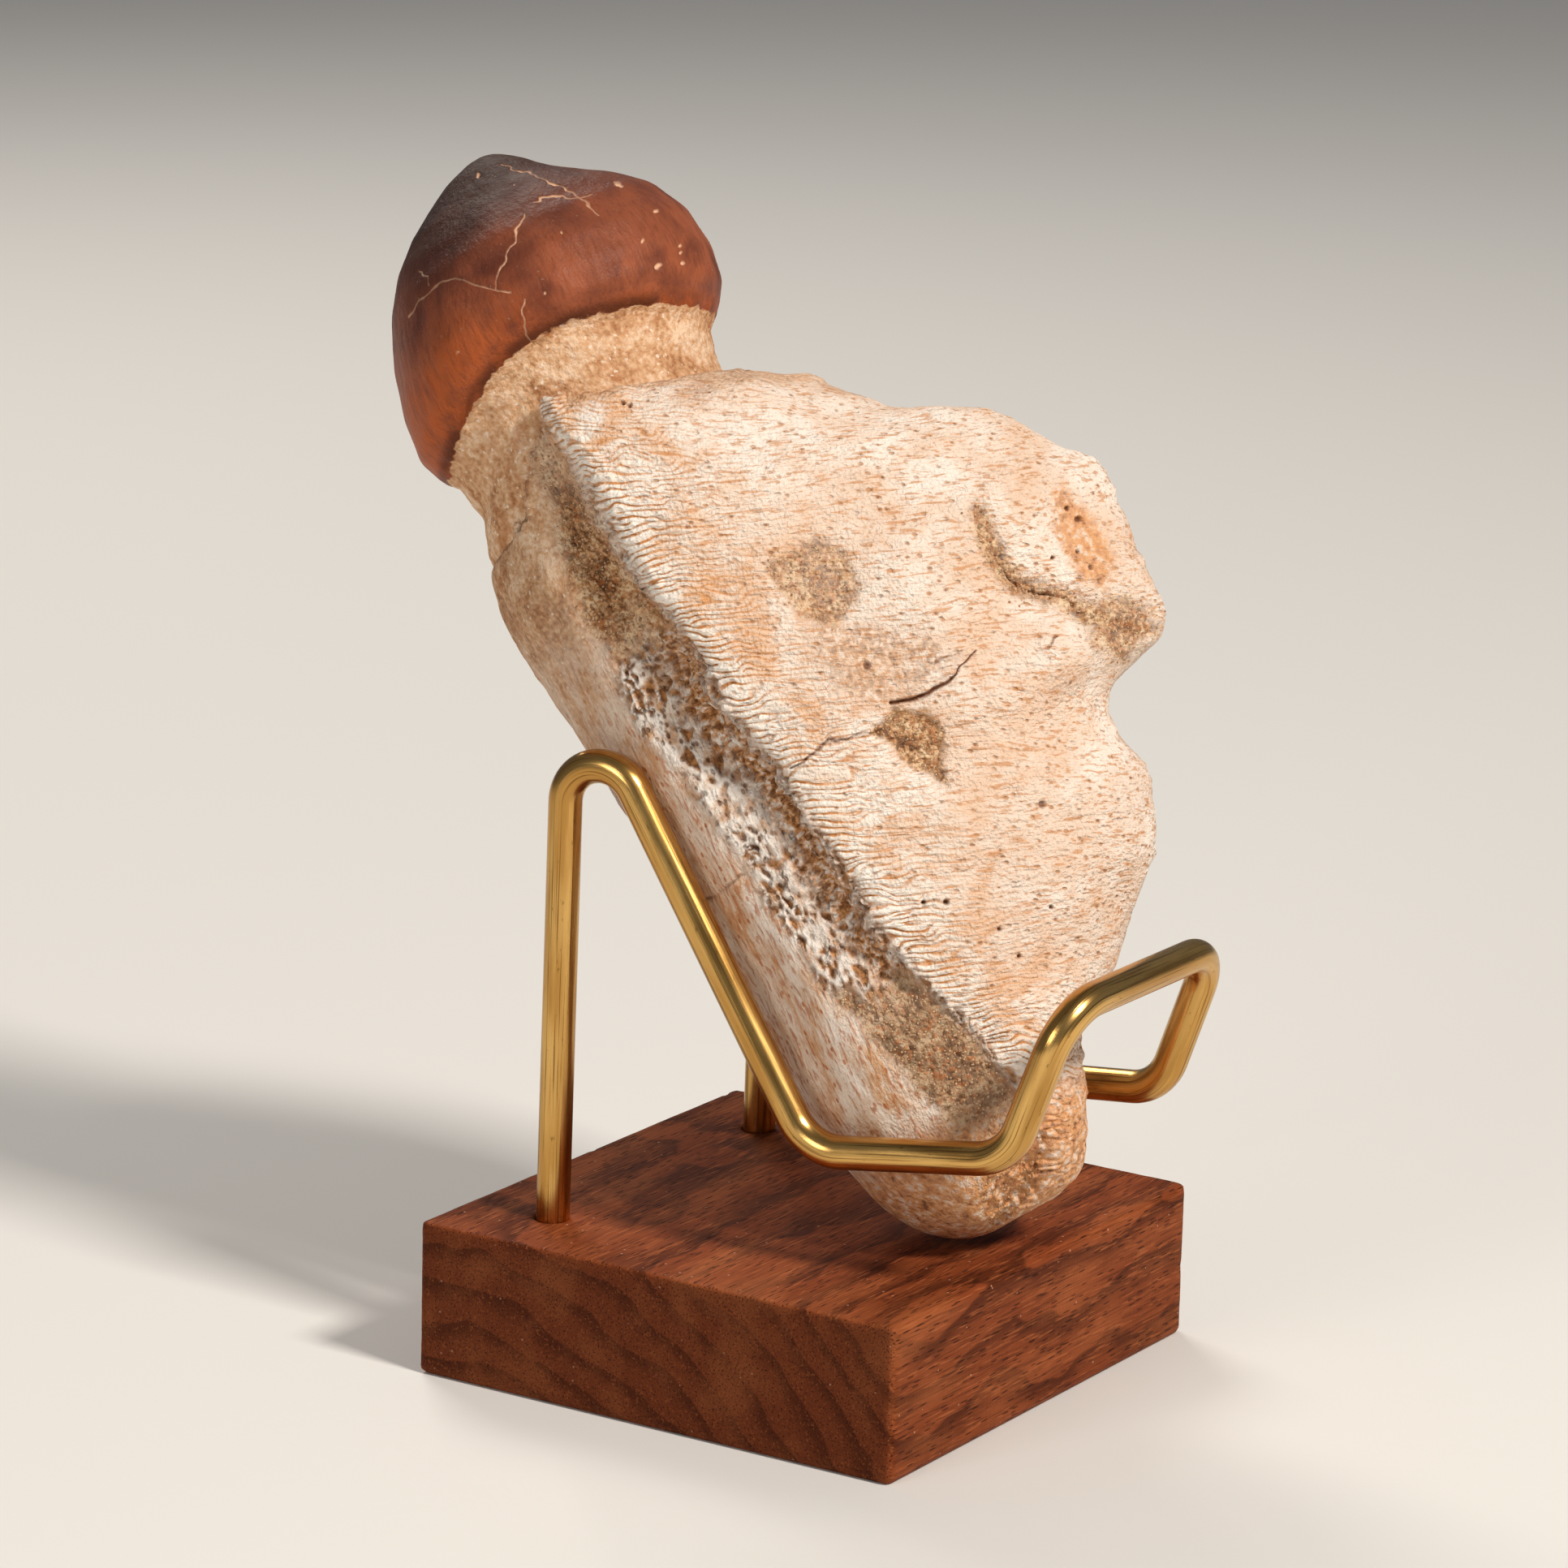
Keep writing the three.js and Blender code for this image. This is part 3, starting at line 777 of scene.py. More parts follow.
    def fibre_colour(self, graph: ShaderGraph, place: Input) -> Socket:
        """Colour of the fibrous side, streaked along the jaw.

        Args:
            graph: The material's graph.
            place: Place on the piece, in millimetres.

        Returns:
            The colour's socket.
        """
        lines = graph.grain(place, (0.34, 0.34, 1.7), detail=5, warp=0.4)
        broad = graph.grain(place, (2.4, 2.4, 5), detail=5)
        colour = graph.ramp(broad, (0.4, self.fibre_light), (0.62, self.fibre_mid))
        colour = graph.lay(colour, self.fibre_light, graph.step(lines, 0.46, 0.36), 0.7)
        colour = graph.lay(colour, self.fibre_dark, graph.step(lines, 0.54, 0.64), 0.65)
        flecks = graph.step(graph.dots(place, (0.7, 0.7, 1.3)), 0.26, 0.14)
        return graph.lay(colour, self.fibre_dark, flecks, graph.step(broad, 0.3, 0.52), 0.85)

    def colour(self, graph: ShaderGraph, place: Input, streak: Input, folds: Input) -> Socket:
        """Colour over the whole fragment.

        Args:
            graph: The material's graph.
            place: Place on the piece, in millimetres.
            streak: The same place in the frame of the streaks.
            folds: The ridges as the mesh has them.

        Returns:
            The colour's socket.
        """
        colour = self.fibre_colour(graph, place)
        colour = graph.lay(colour, self.face_colour(graph, place, streak, folds), graph.attribute("face"))
        colour = graph.lay(colour, self.spongy_colour(graph, place), graph.attribute("spongy"))
        # Patchy dark earth in the groove under the crest, partly painted shade, and in the brown hollow on
        # the broad face.
        crumbs = graph.noise(place, 0.55, detail=5)
        earth = graph.ramp(crumbs, (0.4, self.hollow), (0.52, self.crumb), (0.66, self.spongy_top))
        shaded = graph.step(graph.noise(place, 1.3, detail=5), 0.3, 0.5)
        colour = graph.lay(colour, earth, shaded, graph.attribute("hollow"))
        colour = graph.lay(colour, self.root.colour(graph, place), graph.attribute("neck"))
        colour = graph.lay(colour, self.rock.colour(graph, place), graph.attribute("rock"))
        stops = (0.29, self.hollow), (0.39, self.rust), (0.51, self.amber), (0.64, self.cream)
        rusty = graph.ramp(graph.noise(place, 0.8, detail=7), *stops)
        colour = graph.lay(colour, rusty, graph.attribute("rusty"))
        # Painted shade: the cracks and holes are darkened, with the shadows of the notch, the ledge and the
        # wide crack drawn in.
        return graph.lay(colour, self.crack, graph.attribute("crack"))

    def height(self, graph: ShaderGraph, place: Input, streak: Input, folds: Input) -> Socket:
        """Height of the relief that is finer than the mesh.

        Args:
            graph: The material's graph.
            place: Place on the piece, in millimetres.
            streak: The same place in the frame of the streaks.
            folds: The ridges as the mesh has them.

        Returns:
            The height's socket.
        """
        face = graph.attribute("face")
        lines = graph.grain(streak, (2.2, 1.0, 0.42), detail=3)
        fine = graph.add(graph.noise(place, 0.3, detail=4), graph.noise(place, 1.3, detail=3))
        spots = graph.step(graph.dots(streak, (1.15, 1.0, 0.85)), 0.08, 0.3)
        fibres = graph.grain(place, (0.34, 0.34, 1.7), detail=5, warp=0.4)
        pores = graph.step(graph.dots(place, (0.55, 0.55, 0.9)), 0.1, 0.42)
        return graph.add(
            graph.times(lines, face, 1.3),
            graph.times(fine, 1.2),
            graph.times(spots, face, 0.5),
            graph.times(folds, graph.attribute("ridged"), 0.25),
            graph.times(graph.spots(place, 0.36), graph.attribute("rock"), -0.8),
            graph.times(fibres, graph.math("SUBTRACT", 1.0, face), 1.4),
            graph.times(pores, graph.attribute("spongy"), 0.8),
        )

    def material(self) -> bpy.types.Material:
        """The finish as a material.

        Returns:
            The finished material.
        """
        graph = ShaderGraph("fossil_bone")
        patterns = graph.vector("place"), graph.vector("streak"), self.folds(graph)
        colour = self.colour(graph, *patterns)
        normal = graph.relief(self.height(graph, *patterns), 0.3)
        return graph.surface(Base_Color=colour, Roughness=0.82, Specular_IOR_Level=0.3, Normal=normal)


@dataclass(frozen=True)
class ToothFinish:
    """Enamel from charcoal at the tip to red-brown and amber, above a tan root."""

    body: Colour = srgb(152, 83, 54)
    body_dark: Colour = srgb(92, 48, 36)
    charcoal: Colour = srgb(54, 29, 21)
    amber: Colour = srgb(178, 88, 40)
    rim_shadow: Colour = srgb(60, 28, 16)
    chip: Colour = srgb(222, 176, 142)
    fleck: Colour = srgb(160, 132, 110)
    root: RootFinish = RootFinish()

    def enamel_colour(self, graph: ShaderGraph, place: Input) -> Socket:
        """Colour of the crown.

        Args:
            graph: The material's graph.
            place: Place on the piece, in millimetres.

        Returns:
            The colour's socket.
        """
        cloud = graph.noise(place, 5, detail=5, warp=0.4)
        wrinkle = graph.grain(place, (1.2, 1.2, 3.2), detail=5)
        colour = graph.ramp(cloud, (0.3, self.body_dark), (0.56, self.body))
        colour = graph.lay(colour, self.amber, graph.attribute("amber"), graph.step(wrinkle, 0.1, 0.7))
        colour = graph.lay(colour, self.body_dark, graph.attribute("dusk"), 0.7)
        colour = graph.lay(colour, self.charcoal, graph.attribute("charcoal"))
        # Painted shadow: a dark line along the enamel's lower edge stands in for the shade under its
        # overhanging rim.
        rim = graph.step(graph.attribute("above"), 1.3, 0.25)
        colour = graph.lay(colour, self.rim_shadow, rim, graph.step(cloud, 0.35, 0.55), 0.75)
        fleck = graph.step(graph.noise(place, 0.35, detail=3), 0.68, 0.74)
        colour = graph.lay(colour, self.fleck, fleck, graph.attribute("flecked"), 0.8)
        hairs = graph.grain(place, (0.3, 0.3, 2.6), detail=4)
        colour = graph.lay(colour, self.body_dark, graph.step(hairs, 0.5, 0.68), 0.35)
        return graph.lay(colour, self.chip, graph.attribute("crack"))

    def material(self) -> bpy.types.Material:
        """The finish as a material.

        Returns:
            The finished material.
        """
        graph = ShaderGraph("tooth_enamel_and_root")
        place = graph.vector("place")
        edge = graph.add(graph.attribute("above"), graph.times(graph.noise(place, 1.1, detail=3), 0.9))
        crown = graph.step(edge, 0.38, 0.52)
        colour = graph.mix(crown, self.root.colour(graph, place), self.enamel_colour(graph, place))
        sandy = graph.times(graph.noise(place, 0.36, detail=4), graph.math("SUBTRACT", 1.0, crown))
        wrinkle = graph.grain(place, (0.6, 0.6, 2.4), detail=5)
        grit = graph.add(wrinkle, graph.times(graph.noise(place, 0.25, detail=3), 0.4))
        normal = graph.relief(graph.add(sandy, graph.times(grit, crown, 0.5)), 0.28)
        satin = graph.times(graph.noise(place, 1.6, detail=5), 0.24)
        dull = graph.add(graph.times(graph.attribute("charcoal"), 0.15), 0.34, satin)
        rough = graph.between(crown, 0.85, dull)
        return graph.surface(Base_Color=colour, Roughness=rough, Specular_IOR_Level=0.14, Normal=normal)


@dataclass(frozen=True)
class BrassFinish:
    """Satin brass with drawing lines along the rod and a brown tarnish."""

    bright: Colour = srgb(226, 182, 108)
    deep: Colour = srgb(190, 142, 74)
    tarnish: Colour = srgb(96, 62, 28)

    def material(self) -> bpy.types.Material:
        """The finish as a material.

        Returns:
            The finished material.
        """
        graph = ShaderGraph("satin_brass")
        rod = graph.vector("rod_place")
        lines = graph.grain(rod, (14, 0.16, 0.16), detail=4)
        clouds = graph.grain(rod, (11, 1.1, 1.1), detail=5)
        colour = graph.mix(graph.step(clouds, 0.3, 0.7), self.deep, self.bright)
        specks = graph.step(graph.grain(rod, (0.9, 0.3, 0.3), detail=5), 0.64, 0.74)
        colour = graph.lay(colour, self.tarnish, specks, 0.5)
        colour = graph.lay(colour, self.tarnish, graph.step(lines, 0.54, 0.66), 0.7)
        rough = graph.node("ShaderNodeMapRange", {0: clouds, 3: 0.14, 4: 0.34}).outputs[0]
        normal = graph.relief(graph.add(lines, graph.times(clouds, 0.5)), 0.02)
        return graph.surface(Base_Color=colour, Roughness=rough, Metallic=1.0, Normal=normal)


@dataclass(frozen=True)
class WalnutFinish:
    """Oiled walnut whose growth rings run about a pith that lies along the block's width.

    Args:
        pale: Colour of the palest clouds and fibres.
        middle: Colour of the early wood.
        dark: Colour of the late wood.
        vessel: Colour of the open pores.
        dust: Colour of the few specks of dust.
        ring_width: Width of a growth ring.
        ring_drift: How far the rings wander sideways.
        ring_waver: How much the rings differ in radius.
        pith: Place of the tree's middle.
    """

    pale: Colour = srgb(170, 97, 56)
    middle: Colour = srgb(128, 63, 33)
    dark: Colour = srgb(60, 26, 13)
    vessel: Colour = srgb(40, 18, 11)
    dust: Colour = srgb(196, 152, 124)
    ring_width: float = 3.1
    ring_drift: float = 3.0
    ring_waver: float = 6.0
    pith: Place = (0, 21, -24)

    def late_wood(self, graph: ShaderGraph, place: Input) -> Socket:
        """Share of the dark late wood in each growth ring.

        Args:
            graph: The material's graph.
            place: Place on the piece, in millimetres.

        Returns:
            The share's socket.
        """
        wander = graph.node("ShaderNodeTexNoise", {"Vector": graph.stretch(place, (26, 9, 9)), "Scale": 1.0})
        drift = graph.vectors("MULTIPLY", wander.outputs[1], (0, self.ring_drift, self.ring_drift))
        moved = graph.vectors("ADD", graph.vectors("SUBTRACT", place, self.pith), drift)
        flat = graph.vectors("MULTIPLY", moved, (0, 1, 1))
        radius = graph.node("ShaderNodeVectorMath", {0: flat}, operation="LENGTH").outputs["Value"]
        uneven = graph.add(radius, graph.times(graph.noise(place, 14), self.ring_waver))
        ring = graph.math("FRACT", graph.math("DIVIDE", uneven, self.ring_width))
        return graph.times(graph.step(ring, 0.35, 0.92), graph.step(ring, 1.0, 0.93))

    def material(self) -> bpy.types.Material:
        """The finish as a material.

        Returns:
            The finished material.
        """
        graph = ShaderGraph("oiled_walnut")
        place = graph.vector("place")
        colour = graph.lay(self.middle, self.dark, self.late_wood(graph, place), 0.7)
        cloud = graph.grain(place, (18, 5, 5), detail=4)
        colour = graph.lay(colour, self.pale, graph.step(cloud, 0.42, 0.7), 0.55)
        fibres = graph.grain(place, (5, 0.16, 0.16), detail=3)
        colour = graph.lay(colour, self.dark, graph.step(fibres, 0.45, 0.7), 0.55)
        light_fibres = graph.grain(place, (3, 0.22, 0.22))
        colour = graph.lay(colour, self.pale, graph.step(light_fibres, 0.54, 0.72), 0.6)
        vessels = graph.step(graph.dots(place, (2.6, 0.3, 0.3)), 0.26, 0.16)
        colour = graph.lay(colour, self.vessel, vessels, 0.65)
        dust = graph.step(graph.spots(place, 1.7), 0.075, 0.05)
        colour = graph.lay(colour, self.dust, dust, 0.7)
        colour = graph.lay(colour, self.dark, graph.attribute("end_grain"), 0.45)
        saw = graph.times(graph.grain(place, (0.35, 30, 30)), graph.attribute("sawn"), 0.6)
        height = graph.add(graph.times(fibres, 0.6), graph.times(vessels, -1.0), saw)
        normal = graph.relief(height, 0.09)
        return graph.surface(Base_Color=colour, Roughness=0.58, Specular_IOR_Level=0.05, Normal=normal)


@dataclass(frozen=True)
class SandFinish:
    """Loose quartz and rust-coloured grains stuck in the rock."""

    quartz: Colour = srgb(208, 176, 138)
    brown: Colour = srgb(140, 102, 68)
    rust: Colour = srgb(168, 108, 62)

    def material(self) -> bpy.types.Material:
        """The finish as a material.

        Returns:
            The finished material.
        """
        graph = ShaderGraph("sand_grains")
        stops = (0.0, self.brown), (0.55, self.quartz), (0.86, self.quartz), (0.95, self.rust)
        colour = graph.ramp(graph.attribute("tone"), *stops)
        return graph.surface(Base_Color=colour, Roughness=0.55, Specular_IOR_Level=0.5)


# Geometry node building


class Recipe:
    """Builds one geometry node tree whose sizes are named inputs."""

    def __init__(self, name: str, sizes: dict[str, float]) -> None:
        """Starts a tree that takes a geometry and the named sizes.

        Args:
            name: The tree's name.
            sizes: Names and values of the sizes that it takes.
        """
        self.tree = bpy.data.node_groups.new(name, "GeometryNodeTree")
        face = self.tree.interface
        face.new_socket("Geometry", in_out="INPUT", socket_type="NodeSocketGeometry")
        face.new_socket("Geometry", in_out="OUTPUT", socket_type="NodeSocketGeometry")
        self.sizes = sizes
        for label, value in sizes.items():
            kind = "NodeSocketInt" if isinstance(value, int) else "NodeSocketFloat"
            face.new_socket(label, in_out="INPUT", socket_type=kind).default_value = value
        self.start = self.tree.nodes.new("NodeGroupInput")
        self.end = self.tree.nodes.new("NodeGroupOutput")

    def node(self, kind: str, inputs: dict[int | str, object], **fields: object) -> bpy.types.Node:
        """Adds a node with its inputs and settings."""
        return add_node(self.tree, kind, inputs, fields)

    def finish(self, geometry: Socket, material: bpy.types.Material) -> None:
        """Ends the tree with real geometry in one material."""
        real = self.node("GeometryNodeRealizeInstances", {0: geometry})
        dressed = self.node("GeometryNodeSetMaterial", {0: real.outputs[0], "Material": material})
        self.tree.links.new(dressed.outputs[0], self.end.inputs[0])

    def run(self, mesh: bpy.types.Mesh, name: str) -> bpy.types.Mesh:
        """Runs the tree on a mesh.

        Args:
            mesh: What goes in.
            name: Name of the result.

        Returns:
            A plain new mesh.
        """
        helper = bpy.data.objects.new(name + "_base", mesh)
        bpy.context.scene.collection.objects.link(helper)
        modifier = helper.modifiers.new("Recipe", "NODES")
        modifier.node_group = self.tree
        for item in self.tree.interface.items_tree:
            if item.in_out == "INPUT" and item.name in self.sizes:
                modifier[item.identifier] = self.sizes[item.name]
        graph = bpy.context.evaluated_depsgraph_get()
        made = bpy.data.meshes.new_from_object(helper.evaluated_get(graph))
        made.name = name
        helper.modifiers.clear()
        bpy.data.objects.remove(helper)
        return made


# Sub-assemblies


class Side(Enum):
    """The two mirrored halves of the bent rod."""

    LEFT = -1
    RIGHT = 1


@dataclass(frozen=True)
class Corner:
    """A bend of the rod: where the centre lines of two straights would meet.

    Args:
        half: Distance from the middle plane.
        y: Place in depth.
        z: Height.
        bend: Radius of the centre line there.
    """

    half: float
    y: float
    z: float
    bend: float = 0

    def point(self, side: Side, middle: float) -> Vector:
        """The corner on one side."""
        return Vector((middle + side.value * self.half, self.y, self.z))


@dataclass
class BrassRod:
    """One brass rod, bent into two feet, two sloped backs and a front lip.

    Args:
        diameter: The rod's diameter.
        sides: Faces round the rod.
        middle: Place of the middle plane along X.
        foot: Lower end of a leg, inside the block.
        top: Bend at the top of a leg.
        knee: Bend from the back slope into the seat.
        toe: Bend from the seat into the lip.
        lip: Bend from the lip into the cross bar.
        arc_step: Turn from point to point of a bend, in degrees.
        finish: Its finish.
    """

    diameter: float = 3.0
    sides: int = 32
    middle: float = -0.8
    foot: Corner = Corner(16.8, 16, 4.3)
    top: Corner = Corner(16.7, 15, 65, bend=3.7)
    knee: Corner = Corner(14.7, -9.5, 24.4, bend=5)
    toe: Corner = Corner(13.1, -28.5, 26.8, bend=5)
    lip: Corner = Corner(12.75, -33.5, 40.8, bend=4.6)
    arc_step: float = 4
    finish: BrassFinish = BrassFinish()

    def arc(self, before: Vector, corner: Vector, after: Vector, radius: float) -> list[Vector]:
        """Points of the arc that rounds one corner.

        Args:
            before: The corner before it.
            corner: The corner to round.
            after: The corner after it.
            radius: The arc's radius.

        Returns:
            The points, from the side of before to the side of after.
        """
        back, ahead = (before - corner).normalized(), (after - corner).normalized()
        half_angle = back.angle(ahead) / 2
        centre = corner + (back + ahead).normalized() * (radius / math.sin(half_angle))
        start = corner + back * (radius / math.tan(half_angle)) - centre
        end = corner + ahead * (radius / math.tan(half_angle)) - centre
        turn, axis = start.angle(end), start.cross(end).normalized()
        count = max(4, round(math.degrees(turn) / self.arc_step))
        return [centre + Matrix.Rotation(turn * i / count, 3, axis) @ start for i in range(count + 1)]

    def centre_line(self) -> list[Vector]:
        """Points of the rod's centre line from foot to foot.

        Returns:
            The points, in the part's frame.
        """
        stops = [self.foot, self.top, self.knee, self.toe, self.lip]
        route = [(stop.point(Side.LEFT, self.middle), stop.bend) for stop in stops]
        route += [(stop.point(Side.RIGHT, self.middle), stop.bend) for stop in reversed(stops)]
        line = [route[0][0]]
        for (before, _), (corner, bend), (after, _) in zip(route, route[1:], route[2:]):
            line += self.arc(before, corner, after, bend)
        return [*line, route[-1][0]]

    def recipe(self) -> Recipe:
        """Node tree that sweeps the round section along the line and keeps each place on the rod.

        Returns:
            The tree.
        """
        recipe = Recipe("rod_sweep", {"Radius": self.diameter / 2 * MM, "Sides": self.sides})
        line = recipe.node("GeometryNodeMeshToCurve", {0: recipe.start.outputs["Geometry"]})
        length = recipe.node("GeometryNodeSplineParameter", {}).outputs["Length"]
        kept = self.keep(recipe, line.outputs[0], "along", length)
        size = {"Resolution": recipe.start.outputs["Sides"], "Radius": recipe.start.outputs["Radius"]}
        ring = recipe.node("GeometryNodeCurvePrimitiveCircle", size)
        place = recipe.node("GeometryNodeInputPosition", {}).outputs[0]
        split = recipe.node("ShaderNodeSeparateXYZ", {0: place})
        section = self.keep(recipe, ring.outputs[0], "ring_x", split.outputs[0])
        section = self.keep(recipe, section, "ring_y", split.outputs[1])
        swept = recipe.node("GeometryNodeCurveToMesh", {0: kept, "Profile Curve": section, "Fill Caps": True})
        recipe.finish(swept.outputs[0], self.finish.material())
        return recipe

    def keep(self, recipe: Recipe, geometry: Socket, name: str, value: Socket) -> Socket:
        """Stores one number on each point under a name."""
        inputs = {"Geometry": geometry, "Name": name, "Value": value}
        return recipe.node("GeometryNodeStoreNamedAttribute", inputs, data_type="FLOAT").outputs[0]

    def build(self) -> bpy.types.Object:
        """The rod as a piece.

        Returns:
            The finished piece.
        """
        points = [point * MM for point in self.centre_line()]
        line = bpy.data.meshes.new("rod_line")
        line.from_pydata(points, [(i, i + 1) for i in range(len(points) - 1)], [])
        skin = Skin(self.recipe().run(line, "brass_rod"))
        columns = []
        for name in ("along", "ring_x", "ring_y"):
            values = np.empty(len(skin.mesh.vertices), np.float32)
            skin.mesh.attributes[name].data.foreach_get("value", values)
            columns.append(values / MM)
        skin.store("rod_place", np.stack(columns, axis=1))
        return skin.to_piece("brass_rod", "brass_rod_stand", "brass", skin.mesh.materials[0])


@dataclass
class WalnutBlock:
    """Sawn and oiled block with softly worn edges.

    Args:
        voxel: Side of the voxels that its skin is made from.
        top: Height of its top.
        wear: Depth of the wear along the edges.
        dent_depth: Depth of the few dents in the edges.
        saw_depth: Depth of the saw marks.
        foot_gap: Gap between a hole's rim and the rod.
        rod: The rod whose feet it holds.
        finish: Its finish.
    """

    voxel: float = 0.42
    top: float = 14
    wear: float = 0.07
    dent_depth: float = 0.2
    saw_depth: float = 0.03
    foot_gap: float = 0.02
    rod: BrassRod = field(default_factory=BrassRod)
    finish: WalnutFinish = WalnutFinish()

    def foot_distance(self, points: np.ndarray) -> np.ndarray:
        """Distance of each point from the axis of the nearer foot of the rod."""
        side = np.abs(points[:, 0] - self.rod.middle) - self.rod.foot.half
        return np.hypot(side, points[:, 1] - self.rod.foot.y)

    def close_holes(self, points: np.ndarray) -> np.ndarray:
        """Points with the rims of the two holes drawn in against the rod.

        Args:
            points: Places in the part's frame.

        Returns:
            The moved points.
        """
        distance = self.foot_distance(points)
        snug = np.maximum(distance - 0.35, self.rod.diameter / 2 + self.foot_gap)
        share = (1 - smoothstep(distance, 2.0, 2.8)) * smoothstep(points[:, 2], self.top - 2, self.top - 1)
        middle = self.rod.middle + np.sign(points[:, 0] - self.rod.middle) * self.rod.foot.half
        outward = np.stack([points[:, 0] - middle, points[:, 1] - self.rod.foot.y, 0 * middle], axis=1)
        return points + outward * (share * (snug / np.maximum(distance, 1) - 1))[:, None]

    def build(self, nodes: dict[str, bpy.types.Object]) -> bpy.types.Object:
        """The block as a piece.

        Args:
            nodes: The frame's nodes, by name.

        Returns:
            The finished piece.
        """
        skin = Skin.of_node(nodes["walnut_block"], "walnut_block_worn", self.voxel)
        points, normals = skin.points, skin.normals
        edge = 1 - smoothstep(np.abs(normals).max(axis=1), 0.8, 0.98)
        dents = self.wear * (0.5 + 0.5 * layered_noise(points, 2.2, 11)) * edge
        dents += self.dent_depth * smoothstep(noise(points, 1.3, 17), 0.66, 0.9) * edge
        dents *= smoothstep(self.foot_distance(points), 2.4, 3.4)
        waves = self.saw_depth * noise(points, (30, 1.1, 1.1), 23)
        resting = smoothstep(points[:, 2], 0.4, 1.2)
        skin.points = self.close_holes(points - normals * ((dents + np.abs(waves)) * resting)[:, None])
        skin.store("place", points)
        skin.store("end_grain", smoothstep(np.abs(normals[:, 0]), 0.7, 0.9))
        skin.store("sawn", smoothstep(np.abs(normals[:, 1]), 0.7, 0.9))
        return skin.to_piece("walnut_block_worn", "walnut_block", "walnut", self.finish.material())


@dataclass
class ToothShape:
    """Axis of the tooth and the height of the enamel's lower edge on its four sides.

    Args:
        across: Place of the axis across the broad face.
        depth: Place of the axis out of the broad face.
        edge_right: Height of the edge on the right.
        edge_left: Height of the edge on the left.
        edge_near: Height of the edge on the near side.
        edge_far: Height of the edge on the far side.
    """

    across: float = 0.5
    depth: float = 2.1
    edge_right: float = 70.9
    edge_left: float = 66.9
    edge_near: float = 73.8
    edge_far: float = 68.3

    def about_axis(self, places: np.ndarray) -> tuple[np.ndarray, np.ndarray, np.ndarray]:
        """Directions about the axis.

        Args:
            places: Points in the jaw's frame.

        Returns:
            Share to the right, share towards the near side, and distance from the axis.
        """
        right, near = places[:, 0] - self.across, places[:, 1] - self.depth
        distance = np.hypot(right, near)
        return right / np.maximum(distance, 1e-6), near / np.maximum(distance, 1e-6), distance

    def edge_height(self, places: np.ndarray) -> np.ndarray:
        """Height of the enamel's lower edge in the direction of each point."""
        right, near, _ = self.about_axis(places)
        sides = np.clip(np.stack([right, -right, near, -near]), 0, None) ** 2
        return sides.T @ np.array([self.edge_right, self.edge_left, self.edge_near, self.edge_far])


